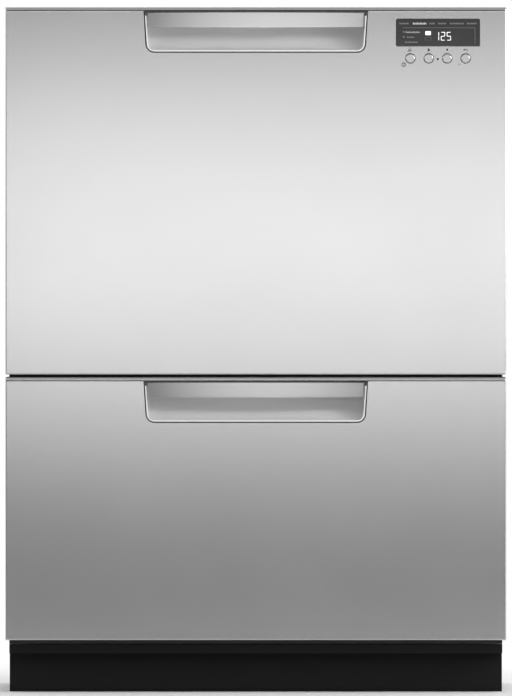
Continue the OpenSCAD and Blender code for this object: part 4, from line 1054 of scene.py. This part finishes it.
def world():
    """A plain room: pale and dim overhead, white from eye level down, as the backdrop is."""
    made = bpy.data.worlds.new("room")
    made.use_nodes = True
    tree = made.node_tree
    place = tree.nodes.new("ShaderNodeTexCoord")
    parts = tree.nodes.new("ShaderNodeSeparateXYZ")
    ramp = tree.nodes.new("ShaderNodeMapRange")
    for key, value in zip(("From Min", "From Max", "To Min", "To Max"), (*HORIZON, 1.0, SKY)):
        ramp.inputs[key].default_value = value
    tree.links.new(place.outputs["Generated"], parts.inputs[0])
    tree.links.new(parts.outputs["Z"], ramp.inputs["Value"])
    tree.links.new(ramp.outputs[0], tree.nodes["Background"].inputs["Strength"])
    tree.nodes["Background"].inputs["Color"].default_value = (1, 1, 1, 1)
    bpy.context.scene.world = made


def floor():
    """A white floor that keeps the object's shadow, and runs into the white room far from it."""
    piece = start("circle", radius=FLOOR_R, fill_type="NGON", vertices=64)
    piece.name = "floor"
    paper = Finish("floor_paper")
    fleck = paper.noise(3.0)
    color = paper.between(fleck, grey(0.84), grey(0.87))
    lit = paper.node("ShaderNodeBsdfDiffuse", Color=color)
    shine = paper.node("ShaderNodeEmission", Color=(1, 1, 1, 1), Strength=1.0)
    away = paper.node("ShaderNodeVectorMath", {"operation": "LENGTH"}, paper.place, output=1)
    white = paper.ramp(away, FLOOR_NEAR, FLOOR_FAR)
    mixed = paper.node("ShaderNodeMixShader", (), white, lit, shine)
    paper.node("ShaderNodeOutputMaterial", Surface=mixed)
    piece.data.materials.append(paper.material)


def dark_stuff(name):
    """The dull dark stuff of the wall and the apron."""
    made = Finish(name)
    color = made.between(made.noise(2.0), grey(DARK * 0.9), grey(DARK * 1.1))
    lit = made.node("ShaderNodeBsdfDiffuse", Color=color)
    made.node("ShaderNodeOutputMaterial", Surface=lit)
    return made.material


def dark_wall():
    """The unlit wall for the fronts to reflect; the camera looks through it."""
    piece = sheet((0, WALL_Y, WALL_H / 2), WALL_W, WALL_H, UPRIGHT)
    piece.name = "dark_wall"
    piece.data.materials.append(dark_stuff("wall_paint"))
    piece.visible_camera = False


def dark_apron():
    """A dark sheet over the floor that only reflections see, a painted reflection: it darkens the
    fronts near their foot.
    """
    piece = sheet((0, (APRON_Y + WALL_Y) / 2, APRON_Z), WALL_W, APRON_Y - WALL_Y)
    piece.name = "dark_apron"
    piece.data.materials.append(dark_stuff("apron_reflection_sheet"))
    for flag in ("visible_camera", "visible_diffuse", "visible_shadow", "visible_transmission"):
        setattr(piece, flag, False)


bpy.context.scene.view_settings.view_transform = "Standard"
camera()
world()
floor()
dark_wall()
dark_apron()
# Each lamp's name, place, target, width, height and power in watts
lamp("front_box", (0.08, FRONT_Y - 1.5, 0.555), (0.08, 0, 0.555), 1.1, 0.45, 2.8)
lamp("right_box", (2.1, -2.1, 1.2), (0, 0, 0.6), 2.2, 1.3, 72)
lamp("left_box", (-2.4, -2.0, 1.4), (0, 0, 0.6), 2.0, 1.0, 20)
lamp("top_box", (0, 1.8, 3.0), (0, 0, 0.4), 4.0, 2.4, 38)
lamp("back_box", (0.4, 2.6, 1.2), (0, 0, 0.4), 2.0, 1.6, 20)
